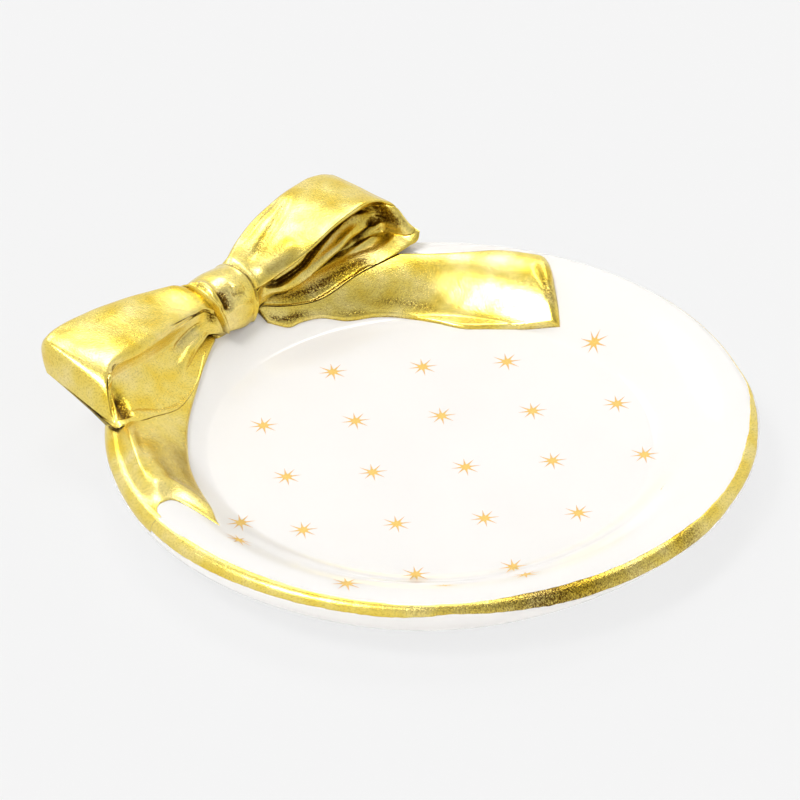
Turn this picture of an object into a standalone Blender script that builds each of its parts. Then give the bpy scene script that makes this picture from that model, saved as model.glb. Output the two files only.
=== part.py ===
"""A round trinket dish with a ribbon bow moulded on its rim.

The dish stands on a flat foot. Its wall sweeps up to a thick round lip, which carries a gold line.
The bow sits on the back of the lip: a strap over two hollow loops, with a tail laid down the wall
on either side. +Z is up, the bow is towards +Y, and the origin is the middle of the foot's face.
"""
import math

import bpy
import bmesh
import numpy as np

# Dish, in metres
RIM_RADIUS = 0.0635
RIM_HEIGHT = 0.0120
WELL_DEPTH = 0.0070
FLOOR_RADIUS = 0.0435
FOOT_INSET = 0.0020
FOOT_HEIGHT = 0.0010
FOOT_FLARE = 0.0007
LIP_TOP_RADIUS = 0.0021
LIP_FACE_HEIGHT = 0.0006
LIP_UNDER_RADIUS = 0.0030
# How softly the wall leaves the floor, and how softly it reaches the lip
WALL_START_POWER = 1.5
WALL_END_POWER = 2.2

# Gold line round the lip
GILDING_THICKNESS = 0.0005
GILDING_START_ANGLE = math.radians(2.0)
GILDING_END_ANGLE = math.radians(78.0)

# Gap between pieces that touch, and between a loop and the tail that it lies on
GAP = 0.0003
LOOP_REST_GAP = 0.0005

# Strap of the bow. Its middle lies inside the lip's crest and above the lip's centre.
KNOT_INSET = 0.0046
KNOT_LIFT = 0.0022
KNOT_OUTER_RADIUS = 0.0062
KNOT_HALF_WIDTH = 0.0063
KNOT_FOOT_HALF_WIDTH = 0.0046
KNOT_FOOT_SHARE = 0.45
STRAP_THICKNESS = 0.0012
STRAP_BULGE = 0.0005
STRAP_EDGE_ROLL = 0.0003
STRAP_ROLL_PLACE_SHARE = 0.88
STRAP_ROLL_WIDTH_SHARE = 0.10
STRAP_FRONT_ANGLE = math.radians(207.0)

# Loops of the bow. The left one is pulled in at the back, and the right one stands higher there.
LOOP_REACH = 0.0445
LOOP_WIDTH = 0.0260
LOOP_RISE = 0.0120
RIGHT_LIP_HEIGHT = 0.0017
LEFT_LIP_HEIGHT = 0.0009
POCKET_DEPTH = 0.0085
CREASE_DEPTH = 0.0008
NECK_BLEND = 0.0040
LEFT_BACK_SHORTER = 0.0034
LEFT_UNDER_SHORTER = 0.0016
RIGHT_BACK_LIFT = 0.0016
RIGHT_BACK_LONGER = 0.0006

# Tails of the bow
TAIL_THICKNESS = 0.0020
TAIL_EDGE_THICKNESS = 0.0009
TAIL_UNDER_LOOP = 0.0008
TAIL_CROWN_POWER = 0.7
TAIL_RIPPLE = 0.0005
RIPPLES_ALONG = 1.4
RIPPLES_ACROSS = 0.6
# A tail has its full thickness only beyond the loop: shares of the loop's reach
SWELL_START_SHARE = 0.82
SWELL_END_SHARE = 1.10

# Facets
TURN_STEPS = 72
WALL_POINTS = 10
ARC_POINTS = 5
LOOP_RING_POINTS = 44
LOOP_SECTIONS = 20
TAIL_SECTIONS = 22
TAIL_POINTS_ACROSS = 7
STRAP_SECTIONS = 20
STRAP_POINTS_ACROSS = 7
MERGE_DISTANCE = 0.00001
SHARP_ANGLE = math.radians(50.0)

# Finishes: linear colour, roughness, metallic
GLAZED_WHITE = ((0.90, 0.87, 0.83), 0.12, 0.0)
LIP_GOLD = ((0.83, 0.61, 0.12), 0.28, 1.0)
BOW_GOLD = ((0.83, 0.61, 0.12), 0.30, 1.0)

# Worked out from the sizes above
FLOOR_HEIGHT = RIM_HEIGHT - WELL_DEPTH
FOOT_RADIUS = FLOOR_RADIUS - FOOT_INSET
CREST_RADIUS = RIM_RADIUS - LIP_TOP_RADIUS
LIP_CENTRE_HEIGHT = RIM_HEIGHT - LIP_TOP_RADIUS
BOW_RADIUS = CREST_RADIUS - KNOT_INSET
KNOT_HEIGHT = LIP_CENTRE_HEIGHT + KNOT_LIFT
STRAP_INNER_RADIUS = KNOT_OUTER_RADIUS - STRAP_THICKNESS
NECK_RADIUS = STRAP_INNER_RADIUS - GAP

# A loop along its reach. The place is a share of LOOP_REACH. Then come, as shares of LOOP_WIDTH from
# BOW_RADIUS and of LOOP_RISE from RIM_HEIGHT, the upper lip's y and z, the lower lip's y and z, the
# back's y and z and the crown's z. The last is the pocket's depth as a share of POCKET_DEPTH. The
# right loop's mouth stays open to its end, and the left one is a wide, shallow bowl.
RIGHT_LOOP_SHARES = (
    (0.18, -0.165, 0.30, -0.205, -0.04, 0.215, 0.20, 0.56, 0.00),
    (0.28, -0.212, 0.44, -0.254, -0.04, 0.280, 0.28, 0.66, 0.40),
    (0.42, -0.262, 0.63, -0.385, -0.06, 0.350, 0.34, 0.76, 0.80),
    (0.64, -0.250, 0.80, -0.458, -0.04, 0.410, 0.40, 0.84, 1.00),
    (0.82, -0.255, 0.84, -0.508, 0.02, 0.425, 0.42, 0.83, 0.95),
    (0.90, -0.290, 0.80, -0.545, 0.04, 0.405, 0.42, 0.79, 0.85),
    (0.94, -0.335, 0.74, -0.565, 0.06, 0.390, 0.42, 0.74, 0.55),
    (0.965, -0.375, 0.69, -0.570, 0.08, 0.375, 0.42, 0.69, 0.05),
    (1.00, -0.440, 0.54, -0.550, 0.10, 0.300, 0.42, 0.54, 0.00),
)
LEFT_LOOP_SHARES = (
    (0.18, -0.150, 0.46, -0.205, -0.04, 0.215, 0.20, 0.60, 0.00),
    (0.28, -0.150, 0.50, -0.280, -0.04, 0.280, 0.28, 0.66, 0.25),
    (0.42, -0.170, 0.60, -0.440, -0.06, 0.350, 0.34, 0.75, 0.50),
    (0.64, -0.195, 0.70, -0.610, -0.04, 0.410, 0.40, 0.82, 0.60),
    (0.82, -0.225, 0.72, -0.620, 0.00, 0.425, 0.42, 0.82, 0.60),
    (0.90, -0.300, 0.62, -0.600, 0.04, 0.410, 0.42, 0.78, 0.45),
    (0.95, -0.390, 0.45, -0.590, 0.07, 0.385, 0.42, 0.72, 0.25),
    (0.98, -0.470, 0.32, -0.580, 0.09, 0.350, 0.42, 0.60, 0.05),
    (1.00, -0.545, 0.25, -0.575, 0.12, 0.300, 0.42, 0.47, 0.00),
)
# A loop's outside, as shares of the way from the upper lip to the back and up to the crown
SHOULDER_SHARES = (0.34, 0.55)
CREASE_SHARE = 0.70
HEEL_SHARES = (0.93, 0.90)
# Its underside, as shares of the way from the back to the lower lip and up to the crown
UNDER_HEEL_SHARES = (0.10, 0.15)
UNDER_SHARE = 0.50
# The wall inside the mouth: shares of the way up from the lower lip, and of the pocket's depth.
# The ribbon inside the right loop has two lengthwise folds.
RIGHT_POCKET_SHARES = ((0.14, 0.74), (0.32, 0.62), (0.50, 0.90), (0.68, 0.58), (0.86, 0.72))
LEFT_POCKET_SHARES = ((0.16, 0.30), (0.33, 0.56), (0.50, 0.66), (0.68, 0.60), (0.85, 0.36))
LIP_LEAN_SHARE = 0.35
LIP_LIMIT_SHARE = 0.30
# How far the pocket runs back under each lip, as a share of its depth
RIGHT_UNDERCUT_SHARE = 0.15
LEFT_UNDERCUT_SHARE = 0.02
# Each loop's side, its table, its pocket, its lips' height and their undercut
RIGHT_LOOP = (1.0, RIGHT_LOOP_SHARES, RIGHT_POCKET_SHARES, RIGHT_LIP_HEIGHT, RIGHT_UNDERCUT_SHARE)
LEFT_LOOP = (-1.0, LEFT_LOOP_SHARES, LEFT_POCKET_SHARES, LEFT_LIP_HEIGHT, LEFT_UNDERCUT_SHARE)
# Where the lips' lines run on the neck, as angles round it, and the outside's share of a ring
NECK_UPPER_LIP = math.radians(150.0)
NECK_LOWER_LIP = math.radians(-145.0)
OUTSIDE_SHARE = 7.0 / 15.0

# A tail's edges along its length: share of the way to the tip, then the inner edge's and the outer
# edge's place as shares of the way from the dish's middle to the crest of the lip.
RIGHT_EDGE_SHARES = (
    (0.00, 0.805, 0.965),
    (0.06, 0.757, 0.962),
    (0.20, 0.752, 0.958),
    (0.37, 0.712, 0.952),
    (0.48, 0.681, 0.948),
    (0.66, 0.653, 0.936),
    (0.77, 0.674, 0.949),
    (0.86, 0.702, 0.970),
    (1.00, 0.757, 0.980),
)
LEFT_EDGE_SHARES = (
    (0.00, 0.820, 0.965),
    (0.25, 0.785, 0.975),
    (0.50, 0.774, 0.985),
    (0.64, 0.781, 0.988),
    (0.78, 0.793, 0.990),
    (0.90, 0.811, 0.990),
    (1.00, 0.850, 0.985),
)
# Where a tail ends, in degrees round the dish from the X axis: share across from the inner edge to
# the outer edge, then the angle. The left tail ends in a swallow's notch.
RIGHT_TIP_SHARES = ((0.0, 6.0), (0.17, 8.1), (0.50, 12.0), (0.82, 15.2), (1.0, 17.5))
LEFT_TIP_SHARES = ((0.0, 7.0), (0.17, 15.2), (0.39, 19.2), (0.65, 19.2), (0.87, 18.0), (1.0, 15.5))


def clamp(value, low=0.0, high=1.0):
    return min(max(value, low), high)


def ease(share):
    """A share that starts and ends softly."""
    share = clamp(share)
    return share * share * (3.0 - 2.0 * share)


def rise_share(share):
    """Height share of the wall's sweep at a share of its width."""
    return (1.0 - (1.0 - clamp(share)) ** WALL_END_POWER) ** WALL_START_POWER


def dish_height(radius):
    """Height of the dish's upper surface at a radius, gold line included."""
    if radius <= CREST_RADIUS:
        share = (radius - FLOOR_RADIUS) / (CREST_RADIUS - FLOOR_RADIUS)
        return FLOOR_HEIGHT + WELL_DEPTH * rise_share(share)
    out = min(radius - CREST_RADIUS, LIP_TOP_RADIUS)
    return LIP_CENTRE_HEIGHT + math.sqrt(LIP_TOP_RADIUS ** 2 - out ** 2)


def dish_normal(radius):
    """Outward and upward parts of the upper surface's normal at a radius."""
    slope = (dish_height(radius + GAP) - dish_height(radius - GAP)) / (2.0 * GAP)
    length = math.hypot(slope, 1.0)
    return -slope / length, 1.0 / length


def rest_height(x, y, clear):
    """Height over a place of the dish that keeps a distance, square to the surface."""
    radius = math.hypot(x, y)
    return dish_height(radius) + clear / dish_normal(min(radius, CREST_RADIUS))[1]


def tail_swell(x):
    """How far a tail has come to its full thickness, at a distance from the bow's middle."""
    place = abs(x) / LOOP_REACH
    return ease((place - SWELL_START_SHARE) / (SWELL_END_SHARE - SWELL_START_SHARE))


def loop_rest_height(x, y):
    """Lowest a loop may reach: on the dish under the strap, and on the tail beyond it."""
    if abs(x) < KNOT_HALF_WIDTH:
        return rest_height(x, y, GAP)
    swell = (TAIL_THICKNESS + TAIL_RIPPLE - TAIL_UNDER_LOOP) * tail_swell(x)
    return rest_height(x, y, GAP + TAIL_UNDER_LOOP + swell + LOOP_REST_GAP)


def arc(centre, radius, start, end, count):
    """Points of an arc in the profile plane; angles run from straight up, outwards and down."""
    points = []
    for i in range(count + 1):
        angle = start + (end - start) * i / count
        points.append((centre[0] + radius * math.sin(angle), centre[1] + radius * math.cos(angle)))
    return points


def at_share(table, share):
    """Read the columns of a table smoothly, at a share between those of its first column."""
    keys = [row[0] for row in table]
    last = len(table) - 1
    i = int(clamp(sum(1 for key in keys if key <= share) - 1, 0, last - 1))
    span = keys[i + 1] - keys[i]
    u = clamp((share - keys[i]) / span)
    low, high = max(i - 1, 0), min(i + 2, last)
    values = []
    for column in range(1, len(table[0])):
        a, b = table[i][column], table[i + 1][column]
        before = (b - table[low][column]) / (keys[i + 1] - keys[low]) * span
        after = (table[high][column] - a) / (keys[high] - keys[i]) * span
        values.append(a * (1 + 2 * u) * (1 - u) ** 2 + before * u * (1 - u) ** 2
                      + b * u * u * (3 - 2 * u) + after * u * u * (u - 1))
    return values


def closed_curve(keys, count):
    """Points along a smooth closed curve through the key points."""
    points = []
    for n in range(count):
        place = n * len(keys) / count
        i = int(place)
        u = place - i
        a, b, c, d = (np.array(keys[(i + k) % len(keys)]) for k in (-1, 0, 1, 2))
        points.append(0.5 * (2 * b + (c - a) * u + (2 * a - 5 * b + 4 * c - d) * u ** 2
                             + (3 * b - a - 3 * c + d) * u ** 3))
    return points


def new_material(name, finish):
    colour, roughness, metallic = finish
    material = bpy.data.materials.new(name)
    material.use_nodes = True
    shader = material.node_tree.nodes["Principled BSDF"]
    shader.inputs["Base Color"].default_value = (*colour, 1.0)
    shader.inputs["Roughness"].default_value = roughness
    shader.inputs["Metallic"].default_value = metallic
    return material


def new_object(name, bm, finish, collection):
    mesh = bpy.data.meshes.new(name)
    bm.to_mesh(mesh)
    bm.free()
    mesh.materials.append(new_material(name + "_finish", finish))
    piece = bpy.data.objects.new(name, mesh)
    collection.objects.link(piece)
    return piece


def turned(name, profile, closed, finish, collection):
    """Turn a profile in the XZ plane round the Z axis with a Screw modifier."""
    bm = bmesh.new()
    verts = [bm.verts.new((x, 0.0, z)) for x, z in profile]
    for a, b in zip(verts, verts[1:]):
        bm.edges.new((a, b))
    if closed:
        bm.edges.new((verts[-1], verts[0]))
    piece = new_object(name, bm, finish, collection)
    screw = piece.modifiers.new("turn", "SCREW")
    screw.steps = TURN_STEPS
    screw.render_steps = TURN_STEPS
    screw.use_merge_vertices = True
    screw.merge_threshold = MERGE_DISTANCE
    screw.use_smooth_shade = True
    return piece


def lofted(name, rings, finish, collection):
    """A closed body through rings of points. A ring runs out along one side and back along the
    other, so that each end is closed by a strip of faces between the two sides."""
    bm = bmesh.new()
    rows = [[bm.verts.new(point) for point in ring] for ring in rings]
    count = len(rows[0])
    for near, far in zip(rows, rows[1:]):
        for i in range(count):
            j = (i + 1) % count
            bm.faces.new((near[i], near[j], far[j], far[i]))
    for row in (rows[0], rows[-1]):
        for i in range(count // 2 - 1):
            bm.faces.new((row[i], row[i + 1], row[count - 2 - i], row[count - 1 - i]))
    bmesh.ops.recalc_face_normals(bm, faces=bm.faces)
    piece = new_object(name, bm, finish, collection)
    piece.data.shade_smooth()
    piece.data.set_sharp_from_angle(angle=SHARP_ANGLE)
    return piece


def make_dish(collection):
    """The dish: floor, wall, lip with a rebate for the gold line, underside and foot."""
    lip = (CREST_RADIUS, LIP_CENTRE_HEIGHT)
    profile = [(0.0, FLOOR_HEIGHT)]
    wall_end = CREST_RADIUS - GAP
    for n in range(WALL_POINTS + 1):
        radius = FLOOR_RADIUS + (wall_end - FLOOR_RADIUS) * n / WALL_POINTS
        profile.append((radius, dish_height(radius)))
    edge = GAP / LIP_TOP_RADIUS
    rebate = LIP_TOP_RADIUS - GILDING_THICKNESS - GAP
    profile += arc(lip, rebate, GILDING_START_ANGLE - edge, GILDING_END_ANGLE + edge, ARC_POINTS)
    profile += arc(lip, LIP_TOP_RADIUS, GILDING_END_ANGLE + edge, math.pi / 2.0, 1)
    under = (RIM_RADIUS - LIP_UNDER_RADIUS, LIP_CENTRE_HEIGHT - LIP_FACE_HEIGHT)
    profile += arc(under, LIP_UNDER_RADIUS, math.pi / 2.0, math.pi, ARC_POINTS)
    bottom = under[1] - LIP_UNDER_RADIUS
    start = FOOT_RADIUS + FOOT_FLARE
    steps = WALL_POINTS // 2
    for n in range(steps - 1, -1, -1):
        profile.append((start + (under[0] - start) * n / steps,
                        FOOT_HEIGHT + (bottom - FOOT_HEIGHT) * rise_share(n / steps)))
    profile += [(FOOT_RADIUS, 0.0), (0.0, 0.0)]
    turned("dish_body", profile, False, GLAZED_WHITE, collection)


def make_gilding(collection):
    """The gold line: a thin band in the lip's rebate, flush with the lip."""
    lip = (CREST_RADIUS, LIP_CENTRE_HEIGHT)
    inner = LIP_TOP_RADIUS - GILDING_THICKNESS
    profile = arc(lip, LIP_TOP_RADIUS, GILDING_START_ANGLE, GILDING_END_ANGLE, ARC_POINTS)
    profile += arc(lip, inner, GILDING_END_ANGLE, GILDING_START_ANGLE, ARC_POINTS)
    turned("rim_gilding", profile, True, LIP_GOLD, collection)


def mouth_ring(loop, share):
    """A loop's hollow section at a share of its reach, in the YZ plane."""
    table, pocket, lip_height, undercut_share = loop[1:]
    ty, tz, ly, lz, by, bz, cz, deep = at_share(table, max(share, table[0][0]))
    top = np.array((BOW_RADIUS + LOOP_WIDTH * ty, RIM_HEIGHT + LOOP_RISE * tz))
    low = np.array((BOW_RADIUS + LOOP_WIDTH * ly, RIM_HEIGHT + LOOP_RISE * lz))
    back = np.array((BOW_RADIUS + LOOP_WIDTH * by, RIM_HEIGHT + LOOP_RISE * bz))
    crown = RIM_HEIGHT + LOOP_RISE * cz
    deep = max(deep, 0.0)
    low[1] = max(low[1], loop_rest_height(LOOP_REACH * share, low[0]))
    opening = top - low
    lip = min(lip_height, LIP_LIMIT_SHARE * opening[1])
    lean = np.array((LIP_LEAN_SHARE * lip, lip))
    undercut = np.array((undercut_share * POCKET_DEPTH * deep, 0.0))
    to_back = back[0] - top[0]
    keys = [
        top,
        (top[0] + SHOULDER_SHARES[0] * to_back, top[1] + SHOULDER_SHARES[1] * (crown - top[1])),
        (top[0] + CREASE_SHARE * to_back, crown - CREASE_DEPTH * deep),
        (top[0] + HEEL_SHARES[0] * to_back, low[1] + HEEL_SHARES[1] * (crown - low[1])),
        back,
        (back[0] - UNDER_HEEL_SHARES[0] * (back[0] - low[0]),
         low[1] + UNDER_HEEL_SHARES[1] * (crown - low[1])),
        (back[0] - UNDER_SHARE * (back[0] - low[0]), low[1]),
        low,
        low + lean + undercut,
    ]
    for up, depth in pocket:
        keys.append(low + opening * up + np.array((POCKET_DEPTH * deep * depth, 0.0)))
    keys.append(top + lean * (1.0, -1.0) + undercut)
    return closed_curve(keys, LOOP_RING_POINTS)


def neck_ring():
    """The round section that passes under the strap, with points in the mouth's order."""
    points = []
    turn = 2.0 * math.pi
    for n in range(LOOP_RING_POINTS):
        share = n / LOOP_RING_POINTS
        if share < OUTSIDE_SHARE:
            angle = NECK_UPPER_LIP + (NECK_LOWER_LIP - NECK_UPPER_LIP) * share / OUTSIDE_SHARE
        else:
            rest = (share - OUTSIDE_SHARE) / (1.0 - OUTSIDE_SHARE)
            angle = NECK_LOWER_LIP + (NECK_UPPER_LIP - turn - NECK_LOWER_LIP) * rest
        points.append(np.array((BOW_RADIUS + NECK_RADIUS * math.cos(angle),
                                KNOT_HEIGHT + NECK_RADIUS * math.sin(angle))))
    return points


def make_loop(name, loop, collection):
    """One loop: a neck under the strap that opens into a hollow, folded ribbon."""
    side = loop[0]
    neck = neck_ring()
    beyond = LOOP_REACH - KNOT_HALF_WIDTH
    places = [GAP / 2.0, KNOT_HALF_WIDTH / 2.0]
    places += [KNOT_HALF_WIDTH + beyond * math.sin(0.5 * math.pi * n / LOOP_SECTIONS)
               for n in range(LOOP_SECTIONS + 1)]
    rings = []
    for place in places:
        share = place / LOOP_REACH
        open_share = ease((place - KNOT_HALF_WIDTH) / NECK_BLEND)
        ring = []
        for thin, wide in zip(neck, mouth_ring(loop, share)):
            y, z = thin * (1.0 - open_share) + wide * open_share
            backward = clamp((y - BOW_RADIUS) / LOOP_WIDTH + 0.5)
            above = clamp((z - RIM_HEIGHT) / LOOP_RISE)
            outward = share ** 2 * open_share * backward
            if side < 0.0:
                x = place - (LEFT_BACK_SHORTER + LEFT_UNDER_SHORTER * (1.0 - above)) * outward
            else:
                x = place + RIGHT_BACK_LONGER * above * outward
                z += RIGHT_BACK_LIFT * above * outward
            ring.append((side * x, y, max(z, loop_rest_height(x, y))))
        rings.append(ring)
    lofted(name, rings, BOW_GOLD, collection)


def make_tail(name, side, edge_shares, tip_shares, collection):
    """One tail: a ribbon laid on the wall, from beside the strap to its cut end."""
    start = KNOT_HALF_WIDTH + 2.0 * GAP
    rings = []
    for n in range(TAIL_SECTIONS + 1):
        along = n / TAIL_SECTIONS
        inner, outer = at_share(edge_shares, along)
        upper, under = [], []
        for m in range(TAIL_POINTS_ACROSS):
            across = m / (TAIL_POINTS_ACROSS - 1)
            radius = CREST_RADIUS * (inner + (outer - inner) * across)
            first = math.acos(start / radius)
            last = math.radians(at_share(tip_shares, across)[0])
            angle = first + (last - first) * along
            crown = math.sin(math.pi * across)
            wave = math.sin(2.0 * math.pi * (RIPPLES_ALONG * along + RIPPLES_ACROSS * across))
            full = (TAIL_EDGE_THICKNESS + TAIL_RIPPLE * wave * crown
                    + (TAIL_THICKNESS - TAIL_EDGE_THICKNESS) * crown ** TAIL_CROWN_POWER)
            swell = tail_swell(radius * math.cos(angle))
            thickness = TAIL_UNDER_LOOP + (full - TAIL_UNDER_LOOP) * swell
            out, up = dish_normal(radius)
            for depth, points in ((GAP, under), (GAP + thickness, upper)):
                r = radius + out * depth
                z = dish_height(radius) + up * depth
                points.append((side * r * math.cos(angle), r * math.sin(angle), z))
        rings.append(upper + under[::-1])
    lofted(name, rings, BOW_GOLD, collection)


def strap_back_angle():
    """Angle at which the strap's inner face comes down on the outside of the lip."""
    apart = math.hypot(KNOT_INSET, KNOT_LIFT)
    reach = LIP_TOP_RADIUS + 2.0 * GAP
    cosine = (apart ** 2 + STRAP_INNER_RADIUS ** 2 - reach ** 2) / (2.0 * apart * STRAP_INNER_RADIUS)
    return math.acos(clamp(cosine)) - math.atan2(KNOT_LIFT, KNOT_INSET)


def make_knot(name, collection):
    """The strap: a band with rolled edges that arches over the loops' necks."""
    back_angle = strap_back_angle()
    rings = []
    for n in range(STRAP_SECTIONS + 1):
        along = n / STRAP_SECTIONS
        angle = STRAP_FRONT_ANGLE + (back_angle - STRAP_FRONT_ANGLE) * along
        spread = math.sin(0.5 * math.pi * clamp(along / KNOT_FOOT_SHARE))
        half = KNOT_FOOT_HALF_WIDTH + (KNOT_HALF_WIDTH - KNOT_FOOT_HALF_WIDTH) * spread
        upper, under = [], []
        for m in range(STRAP_POINTS_ACROSS):
            across = 2.0 * m / (STRAP_POINTS_ACROSS - 1) - 1.0
            off_roll = (abs(across) - STRAP_ROLL_PLACE_SHARE) / STRAP_ROLL_WIDTH_SHARE
            roll = STRAP_EDGE_ROLL * math.exp(-off_roll ** 2)
            bulge = STRAP_BULGE * math.cos(0.5 * math.pi * across) ** 2
            outer = KNOT_OUTER_RADIUS + roll + bulge
            for radius, points in ((STRAP_INNER_RADIUS, under), (outer, upper)):
                x = half * across
                y = BOW_RADIUS + radius * math.cos(angle)
                z = KNOT_HEIGHT + radius * math.sin(angle)
                points.append((x, y, max(z, rest_height(x, y, GAP))))
        rings.append(upper + under[::-1])
    lofted(name, rings, BOW_GOLD, collection)


def main():
    for old in list(bpy.data.objects):
        bpy.data.objects.remove(old, do_unlink=True)
    collection = bpy.data.collections.new("bow_dish")
    bpy.context.scene.collection.children.link(collection)
    make_dish(collection)
    make_gilding(collection)
    make_loop("bow_loop_right", RIGHT_LOOP, collection)
    make_loop("bow_loop_left", LEFT_LOOP, collection)
    make_tail("bow_tail_right", 1.0, RIGHT_EDGE_SHARES, RIGHT_TIP_SHARES, collection)
    make_tail("bow_tail_left", -1.0, LEFT_EDGE_SHARES, LEFT_TIP_SHARES, collection)
    make_knot("bow_knot", collection)


main()
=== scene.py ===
"""Looks of a trinket dish: white glazed stoneware with a gold line round its lip, gold stars printed
in the well, and a gold ribbon bow on the rim. Lengths are in millimetres until a mesh is made."""
import math
import random

import bmesh
import bpy
import numpy as np
from mathutils import Matrix, Vector, noise


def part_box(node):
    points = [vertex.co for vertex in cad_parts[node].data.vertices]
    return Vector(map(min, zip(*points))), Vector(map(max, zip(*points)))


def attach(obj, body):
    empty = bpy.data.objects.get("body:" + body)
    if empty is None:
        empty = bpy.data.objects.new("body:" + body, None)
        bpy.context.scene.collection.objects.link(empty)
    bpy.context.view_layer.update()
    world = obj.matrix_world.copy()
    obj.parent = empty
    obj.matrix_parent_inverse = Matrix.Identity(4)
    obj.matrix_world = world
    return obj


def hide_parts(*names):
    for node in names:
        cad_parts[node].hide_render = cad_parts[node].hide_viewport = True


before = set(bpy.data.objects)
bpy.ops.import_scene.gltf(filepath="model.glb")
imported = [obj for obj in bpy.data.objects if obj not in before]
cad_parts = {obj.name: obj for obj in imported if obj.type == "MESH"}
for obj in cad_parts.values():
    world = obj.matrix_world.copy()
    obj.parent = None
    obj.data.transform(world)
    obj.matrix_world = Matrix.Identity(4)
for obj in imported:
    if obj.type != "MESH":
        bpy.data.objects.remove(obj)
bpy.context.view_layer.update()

MM = 0.001


def corners(node_name):
    """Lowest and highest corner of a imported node, in millimetres."""
    low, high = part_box(node_name)
    return np.array(low) / MM, np.array(high) / MM


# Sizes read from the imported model
RIM_RADIUS = corners("dish_body")[1][0]
RIM_HEIGHT = corners("dish_body")[1][2]
RIGHT_REACH = corners("bow_loop_right")[1][0]
LEFT_REACH = -corners("bow_loop_left")[0][0]
KNOT_HALF_WIDTH = corners("bow_knot")[1][0]

# The dish
WELL_DEPTH = 7.0
FLOOR_RADIUS = 43.5
FOOT_RADIUS = 41.5
FOOT_HEIGHT = 1.0
FOOT_FLARE = 0.7
FOOT_EDGE_RADIUS = 0.4
LIP_RADIUS = 2.1
LIP_FACE = 0.6
LIP_UNDER_RADIUS = 3.0
# How softly the wall leaves the floor, and how softly it meets the lip
WALL_START_POWER = 1.5
WALL_END_POWER = 2.2
FLOOR_HEIGHT = RIM_HEIGHT - WELL_DEPTH
CREST_RADIUS = RIM_RADIUS - LIP_RADIUS
LIP_CENTRE_HEIGHT = RIM_HEIGHT - LIP_RADIUS

# The fired gold and the print, thicker than the real films so that their edges show
GOLD_FILM = 0.06
PRINT_FILM = 0.03
# How far out from the floor the dish's surface takes to sink by the gold's thickness
FILM_FADE = 10.0

# The strap that holds the bow
BOW_RADIUS = CREST_RADIUS - 4.6
KNOT_HEIGHT = LIP_CENTRE_HEIGHT + 2.8
STRAP_RADIUS = 6.7
STRAP_THICKNESS = 1.2
STRAP_FOOT_HALF_WIDTH = 4.6
STRAP_FOOT_SHARE = 0.45
STRAP_BULGE = 0.5
STRAP_EDGE_ROUND = 0.7
STRAP_UNDER_DEPTH = 0.1
STRAP_FRONT_ANGLE = math.radians(208.0)
STRAP_FRONT_LEFT_LIFT = math.radians(14.0)
STRAP_BACK_ANGLE = math.radians(2.0)

# The loops, which open towards the middle of the dish
NECK_RADIUS = 6.0
NECK_BLEND = 4.5
NECK_START = 2.4
LOOP_WIDTH = 26.0
LOOP_RISE = 12.0
LOOP_START = 0.1
LOOP_END_ROUND = 2.2
LOOP_END_CLOSED = 0.98
LOOP_TIP_FADE = 1.2
LOOP_FREE_BLEND = 3.0
POCKET_DEPTH = 8.5
LEFT_BACK_SHORTER = 0.3
LEFT_UNDER_SHORTER = 5.2
RIGHT_BACK_LIFT = 1.0

# The tails, which lie on the wall
TAIL_THICKNESS = 2.0
TAIL_EDGE_THICKNESS = 1.0
TAIL_UNDER_LOOP = 0.8
TAIL_EDGE_ROUND = 0.9
TAIL_END_ROUND = 1.6
TAIL_CROWN_POWER = 0.7
TAIL_START_GAP = 0.3
LEFT_OUTER_FADE = 5.5
LEFT_END_FADE = 5.0
LEFT_END_ROUND = 0.5
LEFT_END_SHARE = 0.15
# Where a tail comes out from under its loop, and over how much of the loop's reach
SWELL_START_SHARE = 0.82
SWELL_SPAN_SHARE = 0.28
# About how long and wide a tail is, to place its folds and round its edges
TAIL_LENGTH = (RIGHT_REACH + 12.0) * 1.05
TAIL_WIDTH = CREST_RADIUS * 0.25

# How far a moulded piece runs into the glaze that joins it to the next
SUNK = 0.12

# Width and height of the unevenness that hands leave on a piece
LOOP_UNEVEN = (7.0, 0.16)
TAIL_UNEVEN = (6.0, 0.12)
STRAP_UNEVEN = (2.2, 0.08)

# How finely the pieces are drawn: points along the parts of the dish's profile, steps round it, then
# sections along a piece and points across or round it
FLOOR_START = 4.0
FLOOR_POINTS, WALL_POINTS, UNDERSIDE_POINTS = 12, 60, 30
LIP_POINTS, UNDER_LIP_POINTS, FOOT_POINTS = 16, 14, 4
DISH_STEPS = 360
GILDING_SECTIONS, GILDING_POINTS = 1024, 36
LOOP_SECTIONS, LOOP_POINTS = 110, 196
TAIL_SECTIONS, TAIL_POINTS = 170, 72
STRAP_SECTIONS, STRAP_POINTS = 150, 80


def clamp(value, low=0.0, high=1.0):
    return np.clip(value, low, high)


def ease(share):
    """A share that starts and ends softly."""
    share = clamp(share)
    return share * share * (3.0 - 2.0 * share)


def rise_share(share):
    """Height share of the wall's sweep at a share of its width."""
    return (1.0 - (1.0 - clamp(share)) ** WALL_END_POWER) ** WALL_START_POWER


def dish_height(radius):
    """Height of the dish's upper surface at a radius."""
    share = (radius - FLOOR_RADIUS) / (CREST_RADIUS - FLOOR_RADIUS)
    out = clamp(radius - CREST_RADIUS, 0.0, LIP_RADIUS)
    lip = LIP_CENTRE_HEIGHT + np.sqrt(LIP_RADIUS ** 2 - out ** 2)
    return np.where(radius <= CREST_RADIUS, FLOOR_HEIGHT + WELL_DEPTH * rise_share(share), lip)


def dish_normal(radius):
    """Outward and upward parts of the upper surface's normal at a radius."""
    step = 0.1
    slope = (dish_height(radius + step) - dish_height(radius - step)) / (2.0 * step)
    length = np.hypot(slope, 1.0)
    return -slope / length, 1.0 / length


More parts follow.
